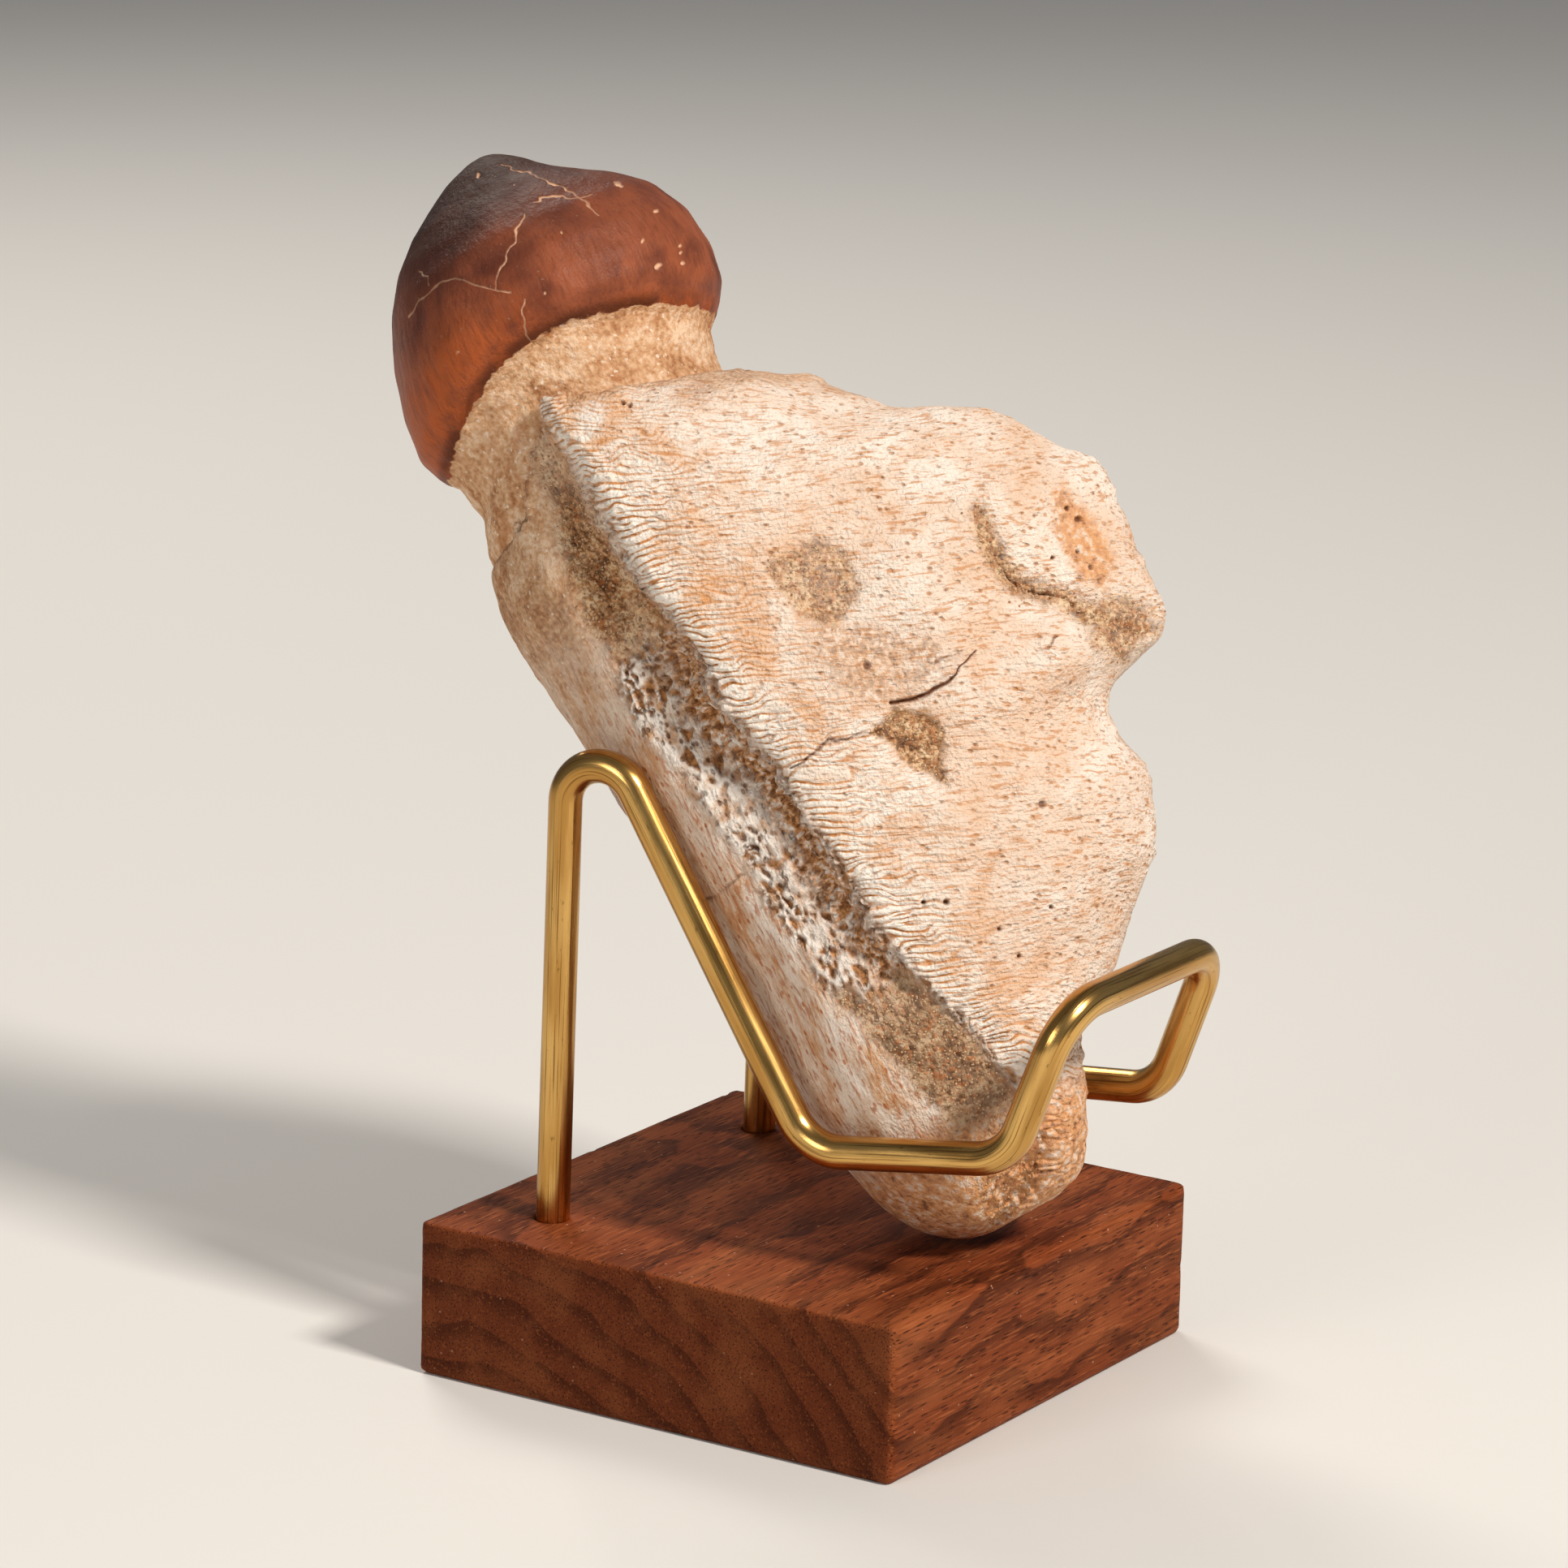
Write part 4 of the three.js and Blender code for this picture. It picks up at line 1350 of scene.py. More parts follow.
@dataclass
class Tooth:
    """Bulbous crushing crown on its root.

    Args:
        frame: Where the jaw's frame lies in the part.
        camera: The photograph's camera.
        shape: The tooth's axis and edge.
        voxel: Side of the voxels that its skin is made from.
        smoothing: Rounds of smoothing of the skin.
        wrinkle_height: Height of the fine wrinkles of the enamel.
        bulge_height: Height of the broad bulges.
        grain_height: Height of the root's grain.
        root_swell: How far the root swells over its straight solid.
        crack_pixels: Width of the cracks, in pixels of the photograph.
        crack_depth: Depth of the cracks.
        charcoal_line: Height of the charcoal's lower border at the axis.
        finish: Its finish.
        cracks: Lines of its cracks, in pixels of the photograph.
        chips: Place and radius of its chips, in pixels of the photograph.
    """

    frame: JawFrame
    camera: PhotoCamera
    shape: ToothShape
    voxel: float = 0.36
    smoothing: int = 48
    wrinkle_height: float = 0.05
    bulge_height: float = 0.12
    grain_height: float = 0.16
    root_swell: float = 0.45
    crack_pixels: float = 1.3
    crack_depth: float = 0.14
    charcoal_line: float = 86.4
    finish: ToothFinish = ToothFinish()
    cracks: tuple[Path, ...] = (
        (
            (504, 390), (514, 374), (529, 360), (542, 350), (555, 345), (570, 345), (585, 351),
            (608, 356), (631, 360),
        ),
        ((610, 355), (613, 340), (617, 327), (625, 312), (633, 299), (639, 282), (647, 265)),
        ((659, 249), (674, 244), (691, 242), (714, 244), (730, 239)),
        (
            (617, 202), (640, 210), (659, 216), (676, 224), (691, 230), (703, 236), (714, 244),
            (727, 254), (737, 265),
        ),
        ((645, 369), (643, 385), (645, 397), (650, 412), (659, 427)),
        ((518, 335), (525, 340), (529, 349)),
    )
    chips: Spots = (
        (760, 227, 4), (764, 229, 3), (812, 326, 4), (837, 303, 2.4), (840, 313, 2.6), (842, 324, 3),
        (589, 216, 2.6), (795, 296, 2.6), (809, 261, 2.6), (673, 361, 2.4), (566, 431, 2),
        (690, 285, 1.8),
    )

    def crack_mask(self, skin: Skin, width: float) -> np.ndarray:
        """Share of 0 to 1 by which each vertex lies on a crack or chip.

        Args:
            skin: The tooth's skin.
            width: Width of the cracks, in pixels of the photograph.

        Returns:
            One share of 0 to 1 for each vertex.
        """
        points, normals = skin.points, skin.normals
        pixels = self.camera.pixels(points)
        wiggle = np.stack([noise(points, 0.8, seed) for seed in (31, 37)], axis=1)
        pixels = pixels + 3 * wiggle
        facing = smoothstep(normals @ self.camera.axes()[2], 0.02, 0.2)
        share = np.zeros(len(points))
        broken = 0.4 + 0.5 * smoothstep(noise(points, 1.4, 41), -0.5, 0.2)
        for path in self.cracks:
            away = smoothstep(path_distance(pixels, path), 0.3 * width, width)
            share = np.maximum(share, broken * (1 - away))
        for x, y, radius in self.chips:
            distance = np.hypot(pixels[:, 0] - x, pixels[:, 1] - y)
            away = smoothstep(distance, 0.4 * radius, 1.1 * radius + width - self.crack_pixels)
            share = np.maximum(share, 1 - away)
        return share * facing

    def build(self, nodes: dict[str, bpy.types.Object]) -> bpy.types.Object:
        """The tooth as a piece.

        Args:
            nodes: The frame's nodes, by name.

        Returns:
            The finished piece.
        """
        skin = Skin.of_node(nodes["tooth"], "crushing_tooth", self.voxel)
        skin.smooth(self.smoothing)
        for width in (8, 5):
            skin.refine(self.crack_mask(skin, width) > 0.02)
        cracks = self.crack_mask(skin, self.crack_pixels)
        points, normals = skin.points, skin.normals
        places = self.frame.to_jaw(points)
        above = places[:, 2] - self.shape.edge_height(places)
        crown = smoothstep(above, -0.1, 0.6)
        wrinkles = self.wrinkle_height * layered_noise(places * np.array([1, 1, 0.4]), 1.6, 51)
        bulges = self.bulge_height * layered_noise(places, 6, 57, 2)
        grains = self.grain_height * layered_noise(places, 1.1, 61) * (1 - crown)
        swell = self.root_swell * (1 - smoothstep(above, -7.5, -4)) * (places[:, 2] > 56)
        lift = wrinkles + bulges + grains + swell - self.crack_depth * cracks
        skin.points = points + normals * lift[:, None]
        self.store_marks(skin, places, above, cracks)
        return skin.to_piece("crushing_tooth", "tooth", "tooth", self.finish.material())

    def store_marks(self, skin: Skin, places: np.ndarray, above: np.ndarray, cracks: np.ndarray) -> None:
        """Keeps what the finish reads: place, height above the enamel's edge, and the coloured areas.

        Args:
            skin: The tooth's skin.
            places: Places in the jaw's frame.
            above: Height of each vertex above the enamel's edge.
            cracks: Share of the cracks.
        """
        right, near, _ = self.shape.about_axis(places)
        uneven = 2.2 * layered_noise(places, 4, 71)
        height = places[:, 2]
        dark_line = self.charcoal_line + 1.4 * right - 1.2 * near
        charcoal = smoothstep(height + uneven - dark_line, -4.6, 4.0)
        low_left = smoothstep(-right + 0.35 * near, 0.1, 0.9) * smoothstep(9 - above + uneven, 0, 6)
        low_line = 0.75 * (1 - smoothstep(above, 0.2, 1.6)) * smoothstep(right, 0.2, 0.6)
        skin.store("place", places)
        skin.store("above", above)
        skin.store("charcoal", charcoal)
        skin.store("dusk", smoothstep(height + uneven - dark_line, -11, 0))
        skin.store("amber", np.clip(low_left + low_line, 0, 1) * (1 - charcoal))
        skin.store("flecked", np.clip(charcoal + 0.5, 0, 1))
        skin.store("crack", cracks)


@dataclass
class JawMarks:
    """Marks of the jaw in pixels of the photograph, and the lines that part its zones, in millimetres.

    Args:
        rock_patch: Outline of the rock in the middle of the broad face.
        rock_wedge: Outline of the rock at the end of the wide crack.
        corner_patch: Outline of the rock at the corner on the right.
        rust_patch: Outline of the rust by the ledge.
        hollow_patch: Outline of the shallow brown hollow.
        ledge: Line of the rock under the raised corner.
        wide_crack: Line of the widest crack, painted dark as the shadow under the lifted sheet.
        thin_cracks: Lines of the other cracks, of the notch's shadow and of the ledge's shadow, all painted
            dark.
        holes: Place and radius of the holes, whose dark is painted shade.
        crest: Height and place across of the crest.
        band_edge: Height and place across of the broken band's outer edge.
        core: Height and depth of the fragment's middle.
    """

    rock_patch: Path = (
        (940, 700), (962, 680), (1005, 668), (1048, 690), (1056, 735), (1030, 768), (985, 758),
        (955, 728),
    )
    rock_wedge: Path = ((1073, 902), (1100, 872), (1140, 878), (1168, 905), (1164, 962), (1130, 950))
    corner_patch: Path = ((1325, 740), (1395, 735), (1438, 775), (1385, 815), (1350, 800))
    rust_patch: Path = (
        (1295, 600), (1312, 592), (1350, 640), (1375, 690), (1362, 730), (1330, 720), (1300, 650),
    )
    hollow_patch: Path = (
        (1000, 762), (1050, 764), (1130, 782), (1182, 808), (1165, 838), (1090, 868), (1040, 852),
        (1008, 806),
    )
    ledge: Path = (
        (1205, 632), (1228, 690), (1254, 723), (1308, 734), (1337, 755), (1373, 763), (1409, 773),
    )
    wide_crack: Path = (
        (1098, 866), (1120, 864), (1150, 850), (1165, 843), (1178, 830), (1190, 816), (1205, 799),
    )
    thin_cracks: tuple[Path, ...] = (
        ((972, 948), (990, 940), (1003, 926), (1022, 912), (1045, 912), (1062, 904), (1078, 902)),
        ((1150, 815), (1170, 808), (1184, 802)),
        # The notch's shadow, painted as a thin dark crack.
        ((1279, 803), (1291, 800), (1297, 787), (1303, 784)),
        ((640, 655), (648, 642), (652, 626)),
        ((870, 1108), (882, 1104), (893, 1096), (908, 1080), (916, 1080)),
        # The ledge's shadow line, painted as a thin dark crack.
        ledge[1:5],
    )
    holes: Spots = (
        (1285, 991, 5), (1068, 820, 5), (618, 673, 4), (615, 680, 3), (768, 497, 3), (776, 499, 3),
        (705, 664, 4), (707, 670, 4), (1138, 1112, 3.5), (1166, 1112, 4), (1232, 1145, 3),
        (1296, 1118, 3), (1256, 1178, 3), (1317, 626, 3.4), (1329, 639, 4), (1328, 679, 3),
        (1297, 687, 2.6), (1344, 699, 3.4),
    )
    crest: Path = (
        (-13.1, 3.1), (-11, 8), (-7, 10.8), (-0.7, 10.5), (4.9, 8.6), (11.4, 6.2), (16.7, 4.8), (24, 4),
        (30.7, 3.1), (38, 1), (45, 1), (52.5, -0.1), (60.5, -0.7), (69.4, -2.4),
    )
    band_edge: Path = (
        (-13.1, 3), (-7, 4.4), (-1.6, 3.2), (4.6, 1), (14.6, -1.8), (25.4, -3.4), (34, -5),
        (39.5, -6.7), (52, -6.9), (59.4, -5.6), (69.4, -4.6),
    )
    core: Path = ((-13.1, 3), (0, 4), (25, 3.6), (45, 2.5), (69.4, 2.1))

    def line(self, path: Path, heights: np.ndarray) -> np.ndarray:
        """Value of one of the lines at each height."""
        return np.interp(heights, *np.array(path).T)


@dataclass
class Survey:
    """What the zones of the jaw are worked out from, one value or row for each vertex.

    Args:
        places: Places in the jaw's frame.
        normals: Directions in the jaw's frame.
        pixels: Places in the photograph.
        facing: Share by which each faces the photograph's camera.
        uneven: Noise that makes the borders of the zones uneven.
        crest: Where the crest runs at that height.
        past_crest: Distance from the crest onto the broad face.
        outside: Distance from the fragment's core towards its near side.
    """

    places: np.ndarray
    normals: np.ndarray
    pixels: np.ndarray
    facing: np.ndarray
    uneven: np.ndarray
    crest: np.ndarray
    past_crest: np.ndarray
    outside: np.ndarray

    def patch(self, outline: Path, soft: float) -> np.ndarray:
        """Share by which each vertex lies in an outline of the photograph, with an uneven edge."""
        return smoothstep(inside(self.pixels, outline) + 9 * self.uneven, -soft / 2, soft / 2)


@dataclass
class JawZones:
    """Shares of 0 to 1 by which each vertex of the jaw belongs to each kind of surface."""

    face: np.ndarray
    ridged: np.ndarray
    spongy: np.ndarray
    rock: np.ndarray
    fibrous: np.ndarray
    broken: np.ndarray
    neck: np.ndarray
    crack: np.ndarray
    under_crest: np.ndarray
    stain: np.ndarray
    # Dark earth: the groove under the crest, partly painted shade, and the brown hollow on the broad face.
    hollow: np.ndarray
    rusty: np.ndarray


@dataclass
class JawBone:
    """The jaw fragment: corrugated broad face, spongy band, fibrous side and rock-filled hollows.

    Args:
        frame: Where the jaw's frame lies in the part.
        camera: The photograph's camera.
        shape: The tooth's axis and edge.
        marks: Where its marks lie.
        voxel: Side of the voxels that its skin is made from.
        smoothing: Rounds of smoothing of the skin.
        rod_clearance: Least gap to the rod.
        ridge_height: Height of the ridges beside the crest.
        faint_ridge_height: Height of the ridges on the rest of the broad face.
        groove_depth: Depth of the groove under the crest.
        crack_depth: Depth of the cracks.
        neck_grain: Height of the grain about the tooth.
        ridge_spacing: Distance between ridges.
        streak_slope: How steeply the streaks cross the broad face.
        low_swell: How far the left side swells near the lower end.
        high_swell: How far the left side swells near the tooth.
        rod: The rod that it leans on.
        finish: Its finish.
    """

    frame: JawFrame
    camera: PhotoCamera
    shape: ToothShape
    marks: JawMarks
    voxel: float = 0.78
    smoothing: int = 8
    rod_clearance: float = 0.05
    ridge_height: float = 0.17
    faint_ridge_height: float = 0.06
    groove_depth: float = 1.1
    crack_depth: float = 0.5
    neck_grain: float = 0.14
    ridge_spacing: float = 0.7
    streak_slope: float = 0.36
    low_swell: float = 0.6
    high_swell: float = 0.45
    rod: BrassRod = field(default_factory=BrassRod)
    finish: BoneFinish = BoneFinish()

    def survey(self, skin: Skin) -> Survey:
        """Looks up where each vertex lies and which way it faces.

        Args:
            skin: The jaw's skin.

        Returns:
            What the zones are worked out from.
        """
        points = skin.points
        places = self.frame.to_jaw(points)
        across, depth, height = places.T
        uneven = layered_noise(places, 2.6, 101)
        crest = self.marks.line(self.marks.crest, height)
        return Survey(
            places=places,
            normals=self.frame.directions(skin.normals),
            pixels=self.camera.pixels(points),
            facing=smoothstep(skin.normals @ self.camera.axes()[2], 0.0, 0.25),
            uneven=uneven,
            crest=crest,
            past_crest=across - crest + 0.5 * uneven + 0.8 * smoothstep(height, 38, 50),
            outside=depth - self.marks.line(self.marks.core, height),
        )

    def rock(self, seen: Survey, band: np.ndarray, shoulder: np.ndarray) -> np.ndarray:
        """Share of clinging rock: the masses at both ends of the band, and patches on the broad face.

        Args:
            seen: Where each vertex lies and which way it faces.
            band: Share of the broken band under the crest.
            shoulder: Share of the crest's upper end.

        Returns:
            One share of 0 to 1 for each vertex.
        """
        height = seen.places[:, 2]
        high_band = smoothstep(height + 3 * seen.uneven, 42, 50) * (1 - 0.45 * shoulder)
        low_mass = smoothstep(13 - height + 3 * seen.uneven, 0, 5) * (1 - 0.4 * smoothstep(-height, 0, 8))
        rock = band * np.maximum(high_band, low_mass) * smoothstep(-seen.past_crest, 0.1, 1.5)
        along_ledge = path_distance(seen.pixels, self.marks.ledge) + 6 * seen.uneven
        for share, cover in (
            (0.7, seen.patch(self.marks.rock_patch, 10)),
            (0.95, seen.patch(self.marks.rock_wedge, 10)),
            (0.8, seen.patch(self.marks.corner_patch, 24)),
            (0.9, 1 - smoothstep(along_ledge, 4, 20)),
        ):
            rock = np.maximum(rock, share * seen.facing * cover)
        return rock

    def neck(self, seen: Survey, face: np.ndarray, band: np.ndarray, shoulder: np.ndarray) -> np.ndarray:
        """Share of the granular bone about the tooth and along the upper rim.

        Args:
            seen: Where each vertex lies and which way it faces.
            face: Share of the broad face.
            band: Share of the broken band under the crest.
            shoulder: Share of the crest's upper end.

        Returns:
            One share of 0 to 1 for each vertex.
        """
        height = seen.places[:, 2]
        _, _, distance = self.shape.about_axis(seen.places)
        about_tooth = smoothstep(height + 4 * seen.uneven, 30, 57) * (1 - smoothstep(distance, 14, 17))
        about_tooth *= 1 - band * (1 - 0.6 * shoulder)
        rim = smoothstep(seen.normals[:, 2], 0.45, 0.8) * smoothstep(height, 55, 60)
        return np.maximum(about_tooth * (1 - 0.8 * face), 0.8 * rim)

    def ridged(self, seen: Survey, rock: np.ndarray) -> np.ndarray:
        """Share of the ridges, which fade across the face and stand out most on the crest.

        Args:
            seen: Where each vertex lies and which way it faces.
            rock: Share of clinging rock.

        Returns:
            One share of 0 to 1 for each vertex.
        """
        wrapped = smoothstep(seen.past_crest, -2.2, -0.2) * smoothstep(seen.outside, 0.5, 3)
        onto_face = np.maximum(seen.places[:, 0] - seen.crest, 0)
        fading = wrapped * np.exp(-((onto_face / 9.5) ** 2)) * (1 - rock)
        on_crest = 0.8 * np.exp(-((seen.past_crest / 1.6) ** 2))
        return fading * (0.75 + 0.25 * noise(seen.places, 7, 109) + on_crest)

    def under_crest(self, seen: Survey, band: np.ndarray) -> np.ndarray:
        """Share of the groove that runs under the crest.

        Args:
            seen: Where each vertex lies and which way it faces.
            band: Share of the broken band under the crest.

        Returns:
            One share of 0 to 1 for each vertex.
        """
        across, _, height = seen.places.T
        off_middle = seen.crest - across - 2.0 + 0.5 * seen.uneven
        along = smoothstep(height, 6, 12) * (1 - smoothstep(height, 47, 54))
        return band * np.exp(-((off_middle / 1.5) ** 2)) * along

    def zones(self, skin: Skin, grow: float = 0) -> JawZones:
        """Sorts the surface into its kinds.

        Args:
            skin: The jaw's skin.
            grow: How far the cracks and holes are widened, in pixels of the photograph.

        Returns:
            The shares of each kind.
        """
        seen = self.survey(skin)
        across, _, height = seen.places.T
        face = smoothstep(seen.past_crest, -0.5, 0.5) * smoothstep(seen.normals[:, 1], -0.1, 0.22)
        near_left = smoothstep(-seen.past_crest, -0.5, 0.5) * smoothstep(seen.outside, 0.5, 3)
        edge = self.marks.line(self.marks.band_edge, height)
        band = near_left * smoothstep(across - edge + 0.7 * seen.uneven, -0.8, 0.6)
        broken = smoothstep(-seen.normals[:, 1], 0.05, 0.4) * smoothstep(across, 11, 16)
        shoulder = smoothstep(height + 2 * seen.uneven, 56, 66)
        rock = self.rock(seen, band, shoulder)
        rubble = 0.75 * broken * smoothstep(layered_noise(seen.places, 7, 107), -0.3, 0.2)
        under_crest = self.under_crest(seen, band)
        tip = smoothstep(-height + 2 * seen.uneven, 1, 6)
        stain = 0.28 + 0.72 * np.exp(-((np.maximum(across - seen.crest, 0) / 8) ** 2)) + tip
        # Dark earth goes into the groove under the crest, partly as painted shade, and into the brown hollow
        # on the face.
        hollow = under_crest + 0.5 * seen.facing * seen.patch(self.marks.hollow_patch, 44)
        return JawZones(
            face=face,
            ridged=self.ridged(seen, rock),
            spongy=np.maximum(band * (1 - rock), rubble) * (1 - shoulder),
            rock=rock,
            fibrous=np.clip(1 - face - band - broken, 0, 1),
            broken=broken,
            neck=self.neck(seen, face, band, shoulder),
            crack=self.cracks(seen, grow),
            under_crest=under_crest,
            stain=np.clip(stain, 0, 1),
            hollow=np.clip(hollow, 0, 1),
            rusty=np.maximum(0.9 * tip, 0.85 * seen.facing * seen.patch(self.marks.rust_patch, 16)),
        )

    def cracks(self, seen: Survey, grow: float) -> np.ndarray:
        """Share by which each vertex lies in a crack or hole, widened by some pixels.

        Args:
            seen: Where each vertex lies and which way it faces.
            grow: How far they are widened, in pixels of the photograph.

        Returns:
            One share of 0 to 1 for each vertex.
        """
        wiggle = np.stack([noise(seen.places, 0.9, seed) for seed in (113, 127)], axis=1)
        moved = seen.pixels + 3 * wiggle
        # Painted shade: the wide crack is the shadow under the lifted sheet, drawn dark and tapering to the
        # right.
        taper = np.clip((1205 - seen.pixels[:, 0]) / 60, 0.35, 1)
        wide = path_distance(moved, self.marks.wide_crack) - grow
        share = 1 - smoothstep(wide, 1.2 * taper, 4.2 * taper)
        faint = 0.5 + 0.4 * noise(seen.places, 1.7, 129)
        for path in self.marks.thin_cracks:
            away = smoothstep(path_distance(moved, path) - grow, 0.6, 2.6)
            share = np.maximum(share, faint * (1 - away))
        for x, y, radius in self.marks.holes:
            distance = np.hypot(seen.pixels[:, 0] - x, seen.pixels[:, 1] - y) - grow
            share = np.maximum(share, 0.85 - 0.85 * smoothstep(distance, 0.4 * radius, 1.3 * radius))
        return share * seen.facing

    def streak_places(self, places: np.ndarray) -> np.ndarray:
        """Places in a frame whose first axis runs along the streaks of the broad face.

        Args:
            places: Places in the jaw's frame.

        Returns:
            The same places in the frame of the streaks.
        """
        across, depth, height = places.T
        fan = self.streak_slope + 0.2 * smoothstep(height, 48, 66)
        past = across - self.marks.line(self.marks.crest, height)
        sway = 0.5 * noise(places, 9, 131)
        return np.stack([across, depth, height + fan * past + sway], axis=1)

    def ridge_phases(self, streaks: np.ndarray) -> np.ndarray:
        """Phases of two sets of ridges that run along the streaks, and the share of the second set.

        Args:
            streaks: Places in the frame of the streaks.

        Returns:
            Both phases and the share, one row for each place.
        """
        drift = 0.66 * noise(streaks, (2.6, 2.2, 1.8), 151) + 0.27 * noise(streaks, (1.1, 1.0, 0.9), 157)
        other = 0.66 * noise(streaks, (2.2, 1.9, 1.6), 152) + 0.25 * noise(streaks, (1.0, 0.9, 0.8), 158)
        first = (streaks[:, 2] + drift) / self.ridge_spacing
        second = (streaks[:, 2] + other) / (0.82 * self.ridge_spacing)
        return np.stack([first, second, smoothstep(noise(streaks, (2.6, 2.0, 1.2), 153), -0.2, 0.2)], axis=1)

    def folds(self, phases: np.ndarray) -> np.ndarray:
        """Fine wrinkles: broad crests of 1 with narrow grooves of -1."""
        first, second, share = phases.T
        wave = (1 - share) * np.abs(np.sin(math.pi * first)) + share * np.abs(np.sin(math.pi * second))
        return 2 * wave**0.8 - 1

    def pits(self, places: np.ndarray) -> np.ndarray:
        """Share of 0 to 1 by which each place lies in a pit of the spongy bone.

        Args:
            places: Places in the jaw's frame.

        Returns:
            One share of 0 to 1 for each vertex.
        """
        warped = places + 0.5 * np.stack([noise(places, 1.0, seed) for seed in (163, 164, 165)], axis=1)
        share = np.zeros(len(places))
        for size, seed in ((1.5, 167), (0.95, 168)):
            nearest, second = cells(warped, (0.8 * size, 0.8 * size, 1.5 * size), seed)
            open_here = smoothstep(noise(places, 2.2 * size, seed + 50), -0.5, 0.1)
            share = np.maximum(share, open_here * smoothstep(second - nearest, 0.1, 0.4))
        return share

    def relief(
        self, places: np.ndarray, streaks: np.ndarray, normals: np.ndarray, zones: JawZones
    ) -> np.ndarray:
        """Height of the surface detail at each vertex, outwards.

        Args:
            places: Vertices in the jaw's frame.
            streaks: The same with the streaks along the first axis.
            normals: Directions in the jaw's frame.
            zones: What kind of surface each vertex has.

        Returns:
            The heights.
        """
        calm = 0.28 * layered_noise(places, 6, 139) + 0.09 * layered_noise(places, 1.8, 149)
        folds = self.folds(self.ridge_phases(streaks)) * (0.75 + 0.25 * noise(streaks, (1.3, 1.1, 0.7), 159))
        sponge = 0.2 - 0.5 * self.pits(places) + 0.32 * layered_noise(places, 2.6, 173)
        sponge += 0.07 * noise(places, 0.5, 175)
        pebble, _ = cells(places, 0.85, 177)
        grains = 0.5 * (0.5 - pebble) + 0.42 * layered_noise(places, 2.0, 179)
        grains += 0.18 * noise(places, 0.45, 181)
        fibres = 0.09 * noise(places, (0.9, 0.9, 7), 191) + 0.04 * noise(places, (0.5, 0.5, 2.4), 193)
        rubble = 0.5 * layered_noise(places, 4.5, 197) + 0.22 * layered_noise(places, 1.2, 199)
        teeth = 0.3 * noise(places, (3, 3, 0.75), 211) * smoothstep(normals[:, 0], 0.55, 0.9)
        height = calm + self.ridge_height * folds * zones.ridged
        height += self.faint_ridge_height * folds * zones.face * (1 - zones.ridged)
        height += sponge * zones.spongy * (1 - 0.4 * zones.broken)
        height += (grains - 0.28) * zones.rock + fibres * zones.fibrous
        height += rubble * zones.broken + teeth * smoothstep(places[:, 0], 13, 16)
        height -= self.groove_depth * zones.under_crest * (0.6 + 0.5 * noise(places, 1.8, 223))
        height -= self.crack_depth * zones.crack
        height += 0.3 * layered_noise(places, 0.7, 227) * zones.under_crest
        height += self.neck_grain * layered_noise(places, 1.1, 61) * zones.neck
        left = smoothstep(-normals[:, 0], 0.2, 0.7)
        height += self.low_swell * (left * np.exp(-(((places[:, 2] - 4) / 7) ** 2)))
        height += self.high_swell * (left * smoothstep(places[:, 2], 42, 53))
        return height

    def build(self, nodes: dict[str, bpy.types.Object]) -> bpy.types.Object:
        """The jaw as a piece.

        Args:
            nodes: The frame's nodes, by name.

        Returns:
            The finished piece.
        """
        skin = Skin.of_node(nodes["jaw_bone"], "jaw_fragment", self.voxel)
        skin.smooth(self.smoothing)
        self.soften_rim(skin)
        for grow, least in ((9, 0.15), (6, 0.55), (3, 2)):
            zones = self.zones(skin, grow)
            banded = np.maximum(zones.spongy, zones.rock) * (1 - zones.broken)
            skin.refine((zones.crack > 0.05) | (np.maximum(zones.ridged, banded) > least))
            skin.smooth(1)
        zones = self.zones(skin)
        points, normals = skin.points, skin.normals
        places = self.frame.to_jaw(points)
        streaks = self.streak_places(places)
        relief = self.relief(places, streaks, self.frame.directions(normals), zones)
        inner = self.socket_wall(places)
        skin.points = self.clear_of_rod(points + normals * (relief * (1 - inner))[:, None])
        skin.store("place", places)
        skin.store("streak", streaks)
        skin.store("pit", self.pits(places))
        skin.store("ridge_phases", self.ridge_phases(streaks))
        for name in ("face", "ridged", "spongy", "rock", "neck", "crack", "stain", "hollow", "rusty"):
            skin.store(name, getattr(zones, name))
        skin.store("porous", np.clip(0.35 + 0.65 * zones.face - 0.3 * zones.ridged, 0, 1))
        skin.store("sandy", zones.rock * (1 - inner))
        return skin.to_piece("jaw_fragment", "jaw_bone", "bone", self.finish.material())

    def clear_of_rod(self, points: np.ndarray) -> np.ndarray:
        """Points with those that came too close to the rod pushed back off it.

        Args:
            points: Places in the part's frame.

        Returns:
            The moved points.
        """
        least = self.rod.diameter / 2 + self.rod_clearance
        line = np.array([tuple(point) for point in self.rod.centre_line()])
        moved = points.copy()
        for start, end in zip(line, line[1:]):
            run = end - start
            share = np.clip(((moved - start) @ run) / (run @ run), 0, 1)
            away = moved - start - share[:, None] * run
            distance = np.linalg.norm(away, axis=1)
            short = np.clip(least - distance, 0, None) * (distance > 0.5)
            moved += away / np.maximum(distance, 0.5)[:, None] * short[:, None]
        return moved

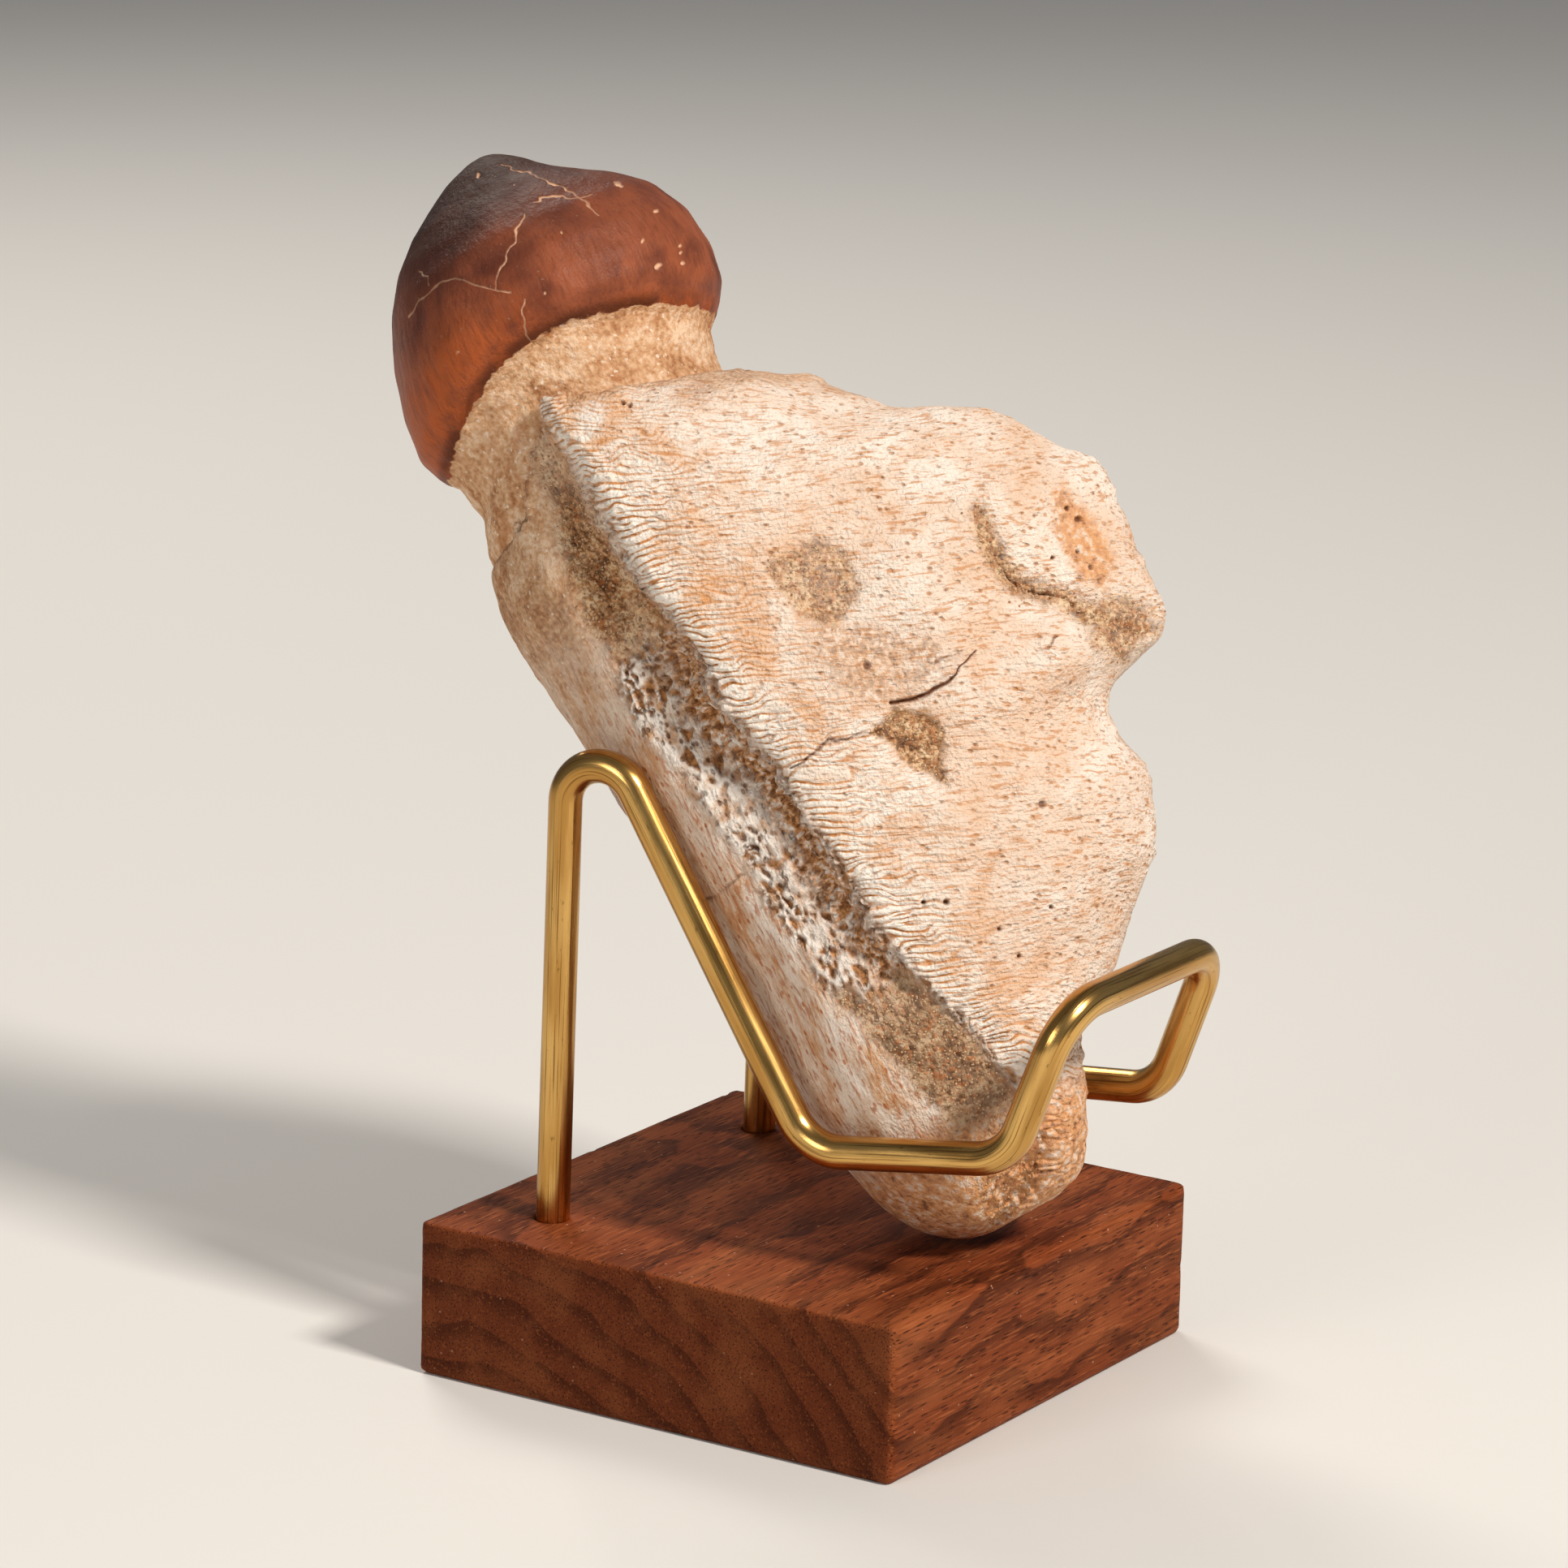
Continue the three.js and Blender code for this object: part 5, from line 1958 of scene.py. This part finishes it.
    def soften_rim(self, skin: Skin) -> None:
        """Rounds the rim where the jaw meets the tooth's root, and the shoulder at the crest's upper end.

        Args:
            skin: The jaw's skin.
        """
        places = self.frame.to_jaw(skin.points)
        across, _, height = places.T
        past_crest = across - self.marks.line(self.marks.crest, height)
        shoulder = smoothstep(height, 57, 62) * np.exp(-((past_crest / 3) ** 2))
        skin.smooth(6, where=shoulder, keep_volume=False)
        right, near, distance = self.shape.about_axis(places)
        sheltered = smoothstep(0.35 * near + 0.9 * right, 0.5, 0.1)
        ring = smoothstep(height, 56, 58.5) * (1 - smoothstep(distance, 15, 17))
        ring *= smoothstep(distance, 11.5, 12.6)
        skin.smooth(3, where=ring * sheltered, keep_volume=False)

    def socket_wall(self, places: np.ndarray) -> np.ndarray:
        """Share by which each vertex belongs to the hidden wall of the tooth's socket."""
        _, _, distance = self.shape.about_axis(places)
        return smoothstep(places[:, 2], 46, 48) * (1 - smoothstep(distance, 10, 12))


@dataclass
class SandGrains:
    """Loose grains scattered over the rock that clings to the jaw.

    Args:
        per_square_mm: How many grains lie on a square millimetre.
        smallest: Least radius of a grain.
        largest: Largest radius of a grain.
        seed: Seed of the scattering.
        finish: Their finish.
    """

    per_square_mm: float = 6.0
    smallest: float = 0.05
    largest: float = 0.13
    seed: int = 5
    finish: SandFinish = SandFinish()

    def recipe(self) -> Recipe:
        """Node tree that scatters small stones where the surface is sandy.

        Returns:
            The tree.
        """
        sizes = {
            "Density": self.per_square_mm / MM**2,
            "Smallest": self.smallest * MM,
            "Largest": self.largest * MM,
            "Seed": self.seed,
        }
        recipe = Recipe("scattered_grains", sizes)
        given = recipe.start.outputs
        sandy = recipe.node("GeometryNodeInputNamedAttribute", {"Name": "sandy"}, data_type="FLOAT")
        factors = {0: sandy.outputs[0], 1: given["Density"]}
        chance = recipe.node("ShaderNodeMath", factors, operation="MULTIPLY")
        spread = {0: given["Geometry"], "Density": chance.outputs[0], "Seed": given["Seed"]}
        spots = recipe.node("GeometryNodeDistributePointsOnFaces", spread)
        tone = {"Geometry": spots.outputs[0], "Name": "tone", "Value": self.random(recipe, 0.0, 1.0, 3)}
        toned = recipe.node("GeometryNodeStoreNamedAttribute", tone, data_type="FLOAT")
        stone = recipe.node("GeometryNodeMeshIcoSphere", {"Radius": 1.0, "Subdivisions": 1})
        size = self.random(recipe, given["Smallest"], given["Largest"], 7)
        turn = spots.outputs["Rotation"]
        laid = {"Points": toned.outputs[0], "Instance": stone.outputs[0], "Rotation": turn, "Scale": size}
        placed = recipe.node("GeometryNodeInstanceOnPoints", laid)
        recipe.finish(placed.outputs[0], self.finish.material())
        return recipe

    def random(self, recipe: Recipe, low: object, high: object, seed: int) -> Socket:
        """A random number between two for each grain.

        Args:
            recipe: The tree that it goes into.
            low: The least value.
            high: The largest value.
            seed: Seed of the random draw.

        Returns:
            The number's socket.
        """
        node = recipe.node("FunctionNodeRandomValue", {}, data_type="FLOAT")
        for name, value in (("Min", low), ("Max", high)):
            socket = next(s for s in node.inputs if s.name == name and s.type == "VALUE")
            if isinstance(value, Socket):
                recipe.tree.links.new(value, socket)
            else:
                socket.default_value = value
        node.inputs["Seed"].default_value = seed
        return next(s for s in node.outputs if s.type == "VALUE")

    def build(self, jaw: bpy.types.Object) -> bpy.types.Object:
        """The grains as a piece."""
        mesh = self.recipe().run(jaw.data, "sand_grains")
        return place_piece(mesh, "sand_grains")


@dataclass(frozen=True)
class Lamp:
    """One square studio light that looks at the object.

    Args:
        name: Its name.
        place: Where it stands, in metres.
        side: Its side, in metres.
        power: Its power in watts.
        colour: Its colour.
        target: The point it looks at, in metres.
    """

    name: str
    place: Place
    side: float
    power: float
    colour: Colour
    target: Place = (0, 0, 0.055)

    def build(self) -> None:
        """Makes the light."""
        data = bpy.data.lights.new(self.name, "AREA")
        data.shape, data.size, data.energy, data.color = "SQUARE", self.side, self.power, self.colour[:3]
        lamp = bpy.data.objects.new(self.name, data)
        lamp.location = self.place
        aim = Vector(self.target) - Vector(self.place)
        lamp.rotation_euler = aim.to_track_quat("-Z", "Y").to_euler()
        bpy.context.scene.collection.objects.link(lamp)


@dataclass
class Studio:
    """Pale floor, pale surroundings and soft lights.

    Args:
        floor_side: Side of the square floor, in metres.
        floor_drop: How far the floor lies under the object, in metres.
        floor: Its colour.
        sky: Colour of the pale surroundings.
        sky_strength: Their strength.
        lamps: The lights.
    """

    floor_side: float = 6
    floor_drop: float = 0.0001
    floor: Colour = srgb(226, 224, 220)
    sky: Colour = srgb(222, 224, 228)
    sky_strength: float = 0.2
    lamps: tuple[Lamp, ...] = (
        Lamp("key", (-0.1, -0.6, 0.66), 0.15, 7.4, srgb(255, 247, 238)),
        Lamp("fill", (-0.75, 0.1, 0.34), 0.25, 1.5, srgb(253, 247, 240)),
        Lamp("back", (0.35, 0.5, 0.55), 0.3, 2.4, srgb(255, 248, 238)),
    )

    def build(self) -> None:
        """Makes the floor, the surroundings and the lights."""
        mesh = bpy.data.meshes.new("floor")
        half = self.floor_side / 2
        corners = [(-half, -half, 0), (half, -half, 0), (half, half, 0), (-half, half, 0)]
        mesh.from_pydata(corners, [], [(0, 1, 2, 3)])
        floor = bpy.data.objects.new("floor", mesh)
        floor.location.z = -self.floor_drop
        bpy.context.scene.collection.objects.link(floor)
        graph = ShaderGraph("pale_floor")
        mesh.materials.append(graph.surface(Base_Color=self.floor, Roughness=0.7))
        world = bpy.data.worlds.new("pale_studio")
        world.use_nodes = True
        background = world.node_tree.nodes["Background"]
        background.inputs[0].default_value = self.sky
        background.inputs[1].default_value = self.sky_strength
        bpy.context.scene.world = world
        for lamp in self.lamps:
            lamp.build()


def main() -> None:
    """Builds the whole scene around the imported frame."""
    logging.basicConfig(level=logging.INFO, format="%(name)s: %(message)s")
    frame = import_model()
    bpy.context.scene.view_settings.view_transform = "Standard"
    camera, jaw_frame, shape = PhotoCamera(), JawFrame(), ToothShape()
    camera.build()
    Studio().build()
    jaw = JawBone(jaw_frame, camera, shape, JawMarks()).build(frame["nodes"])
    pieces = [
        jaw,
        SandGrains().build(jaw),
        Tooth(jaw_frame, camera, shape).build(frame["nodes"]),
        BrassRod().build(),
        WalnutBlock().build(frame["nodes"]),
    ]
    for piece in pieces:
        piece.data.calc_loop_triangles()
        log.info("%s: %d triangles", piece.name, len(piece.data.loop_triangles))
    bpy.context.view_layer.update()


if __name__ == "__main__":
    main()
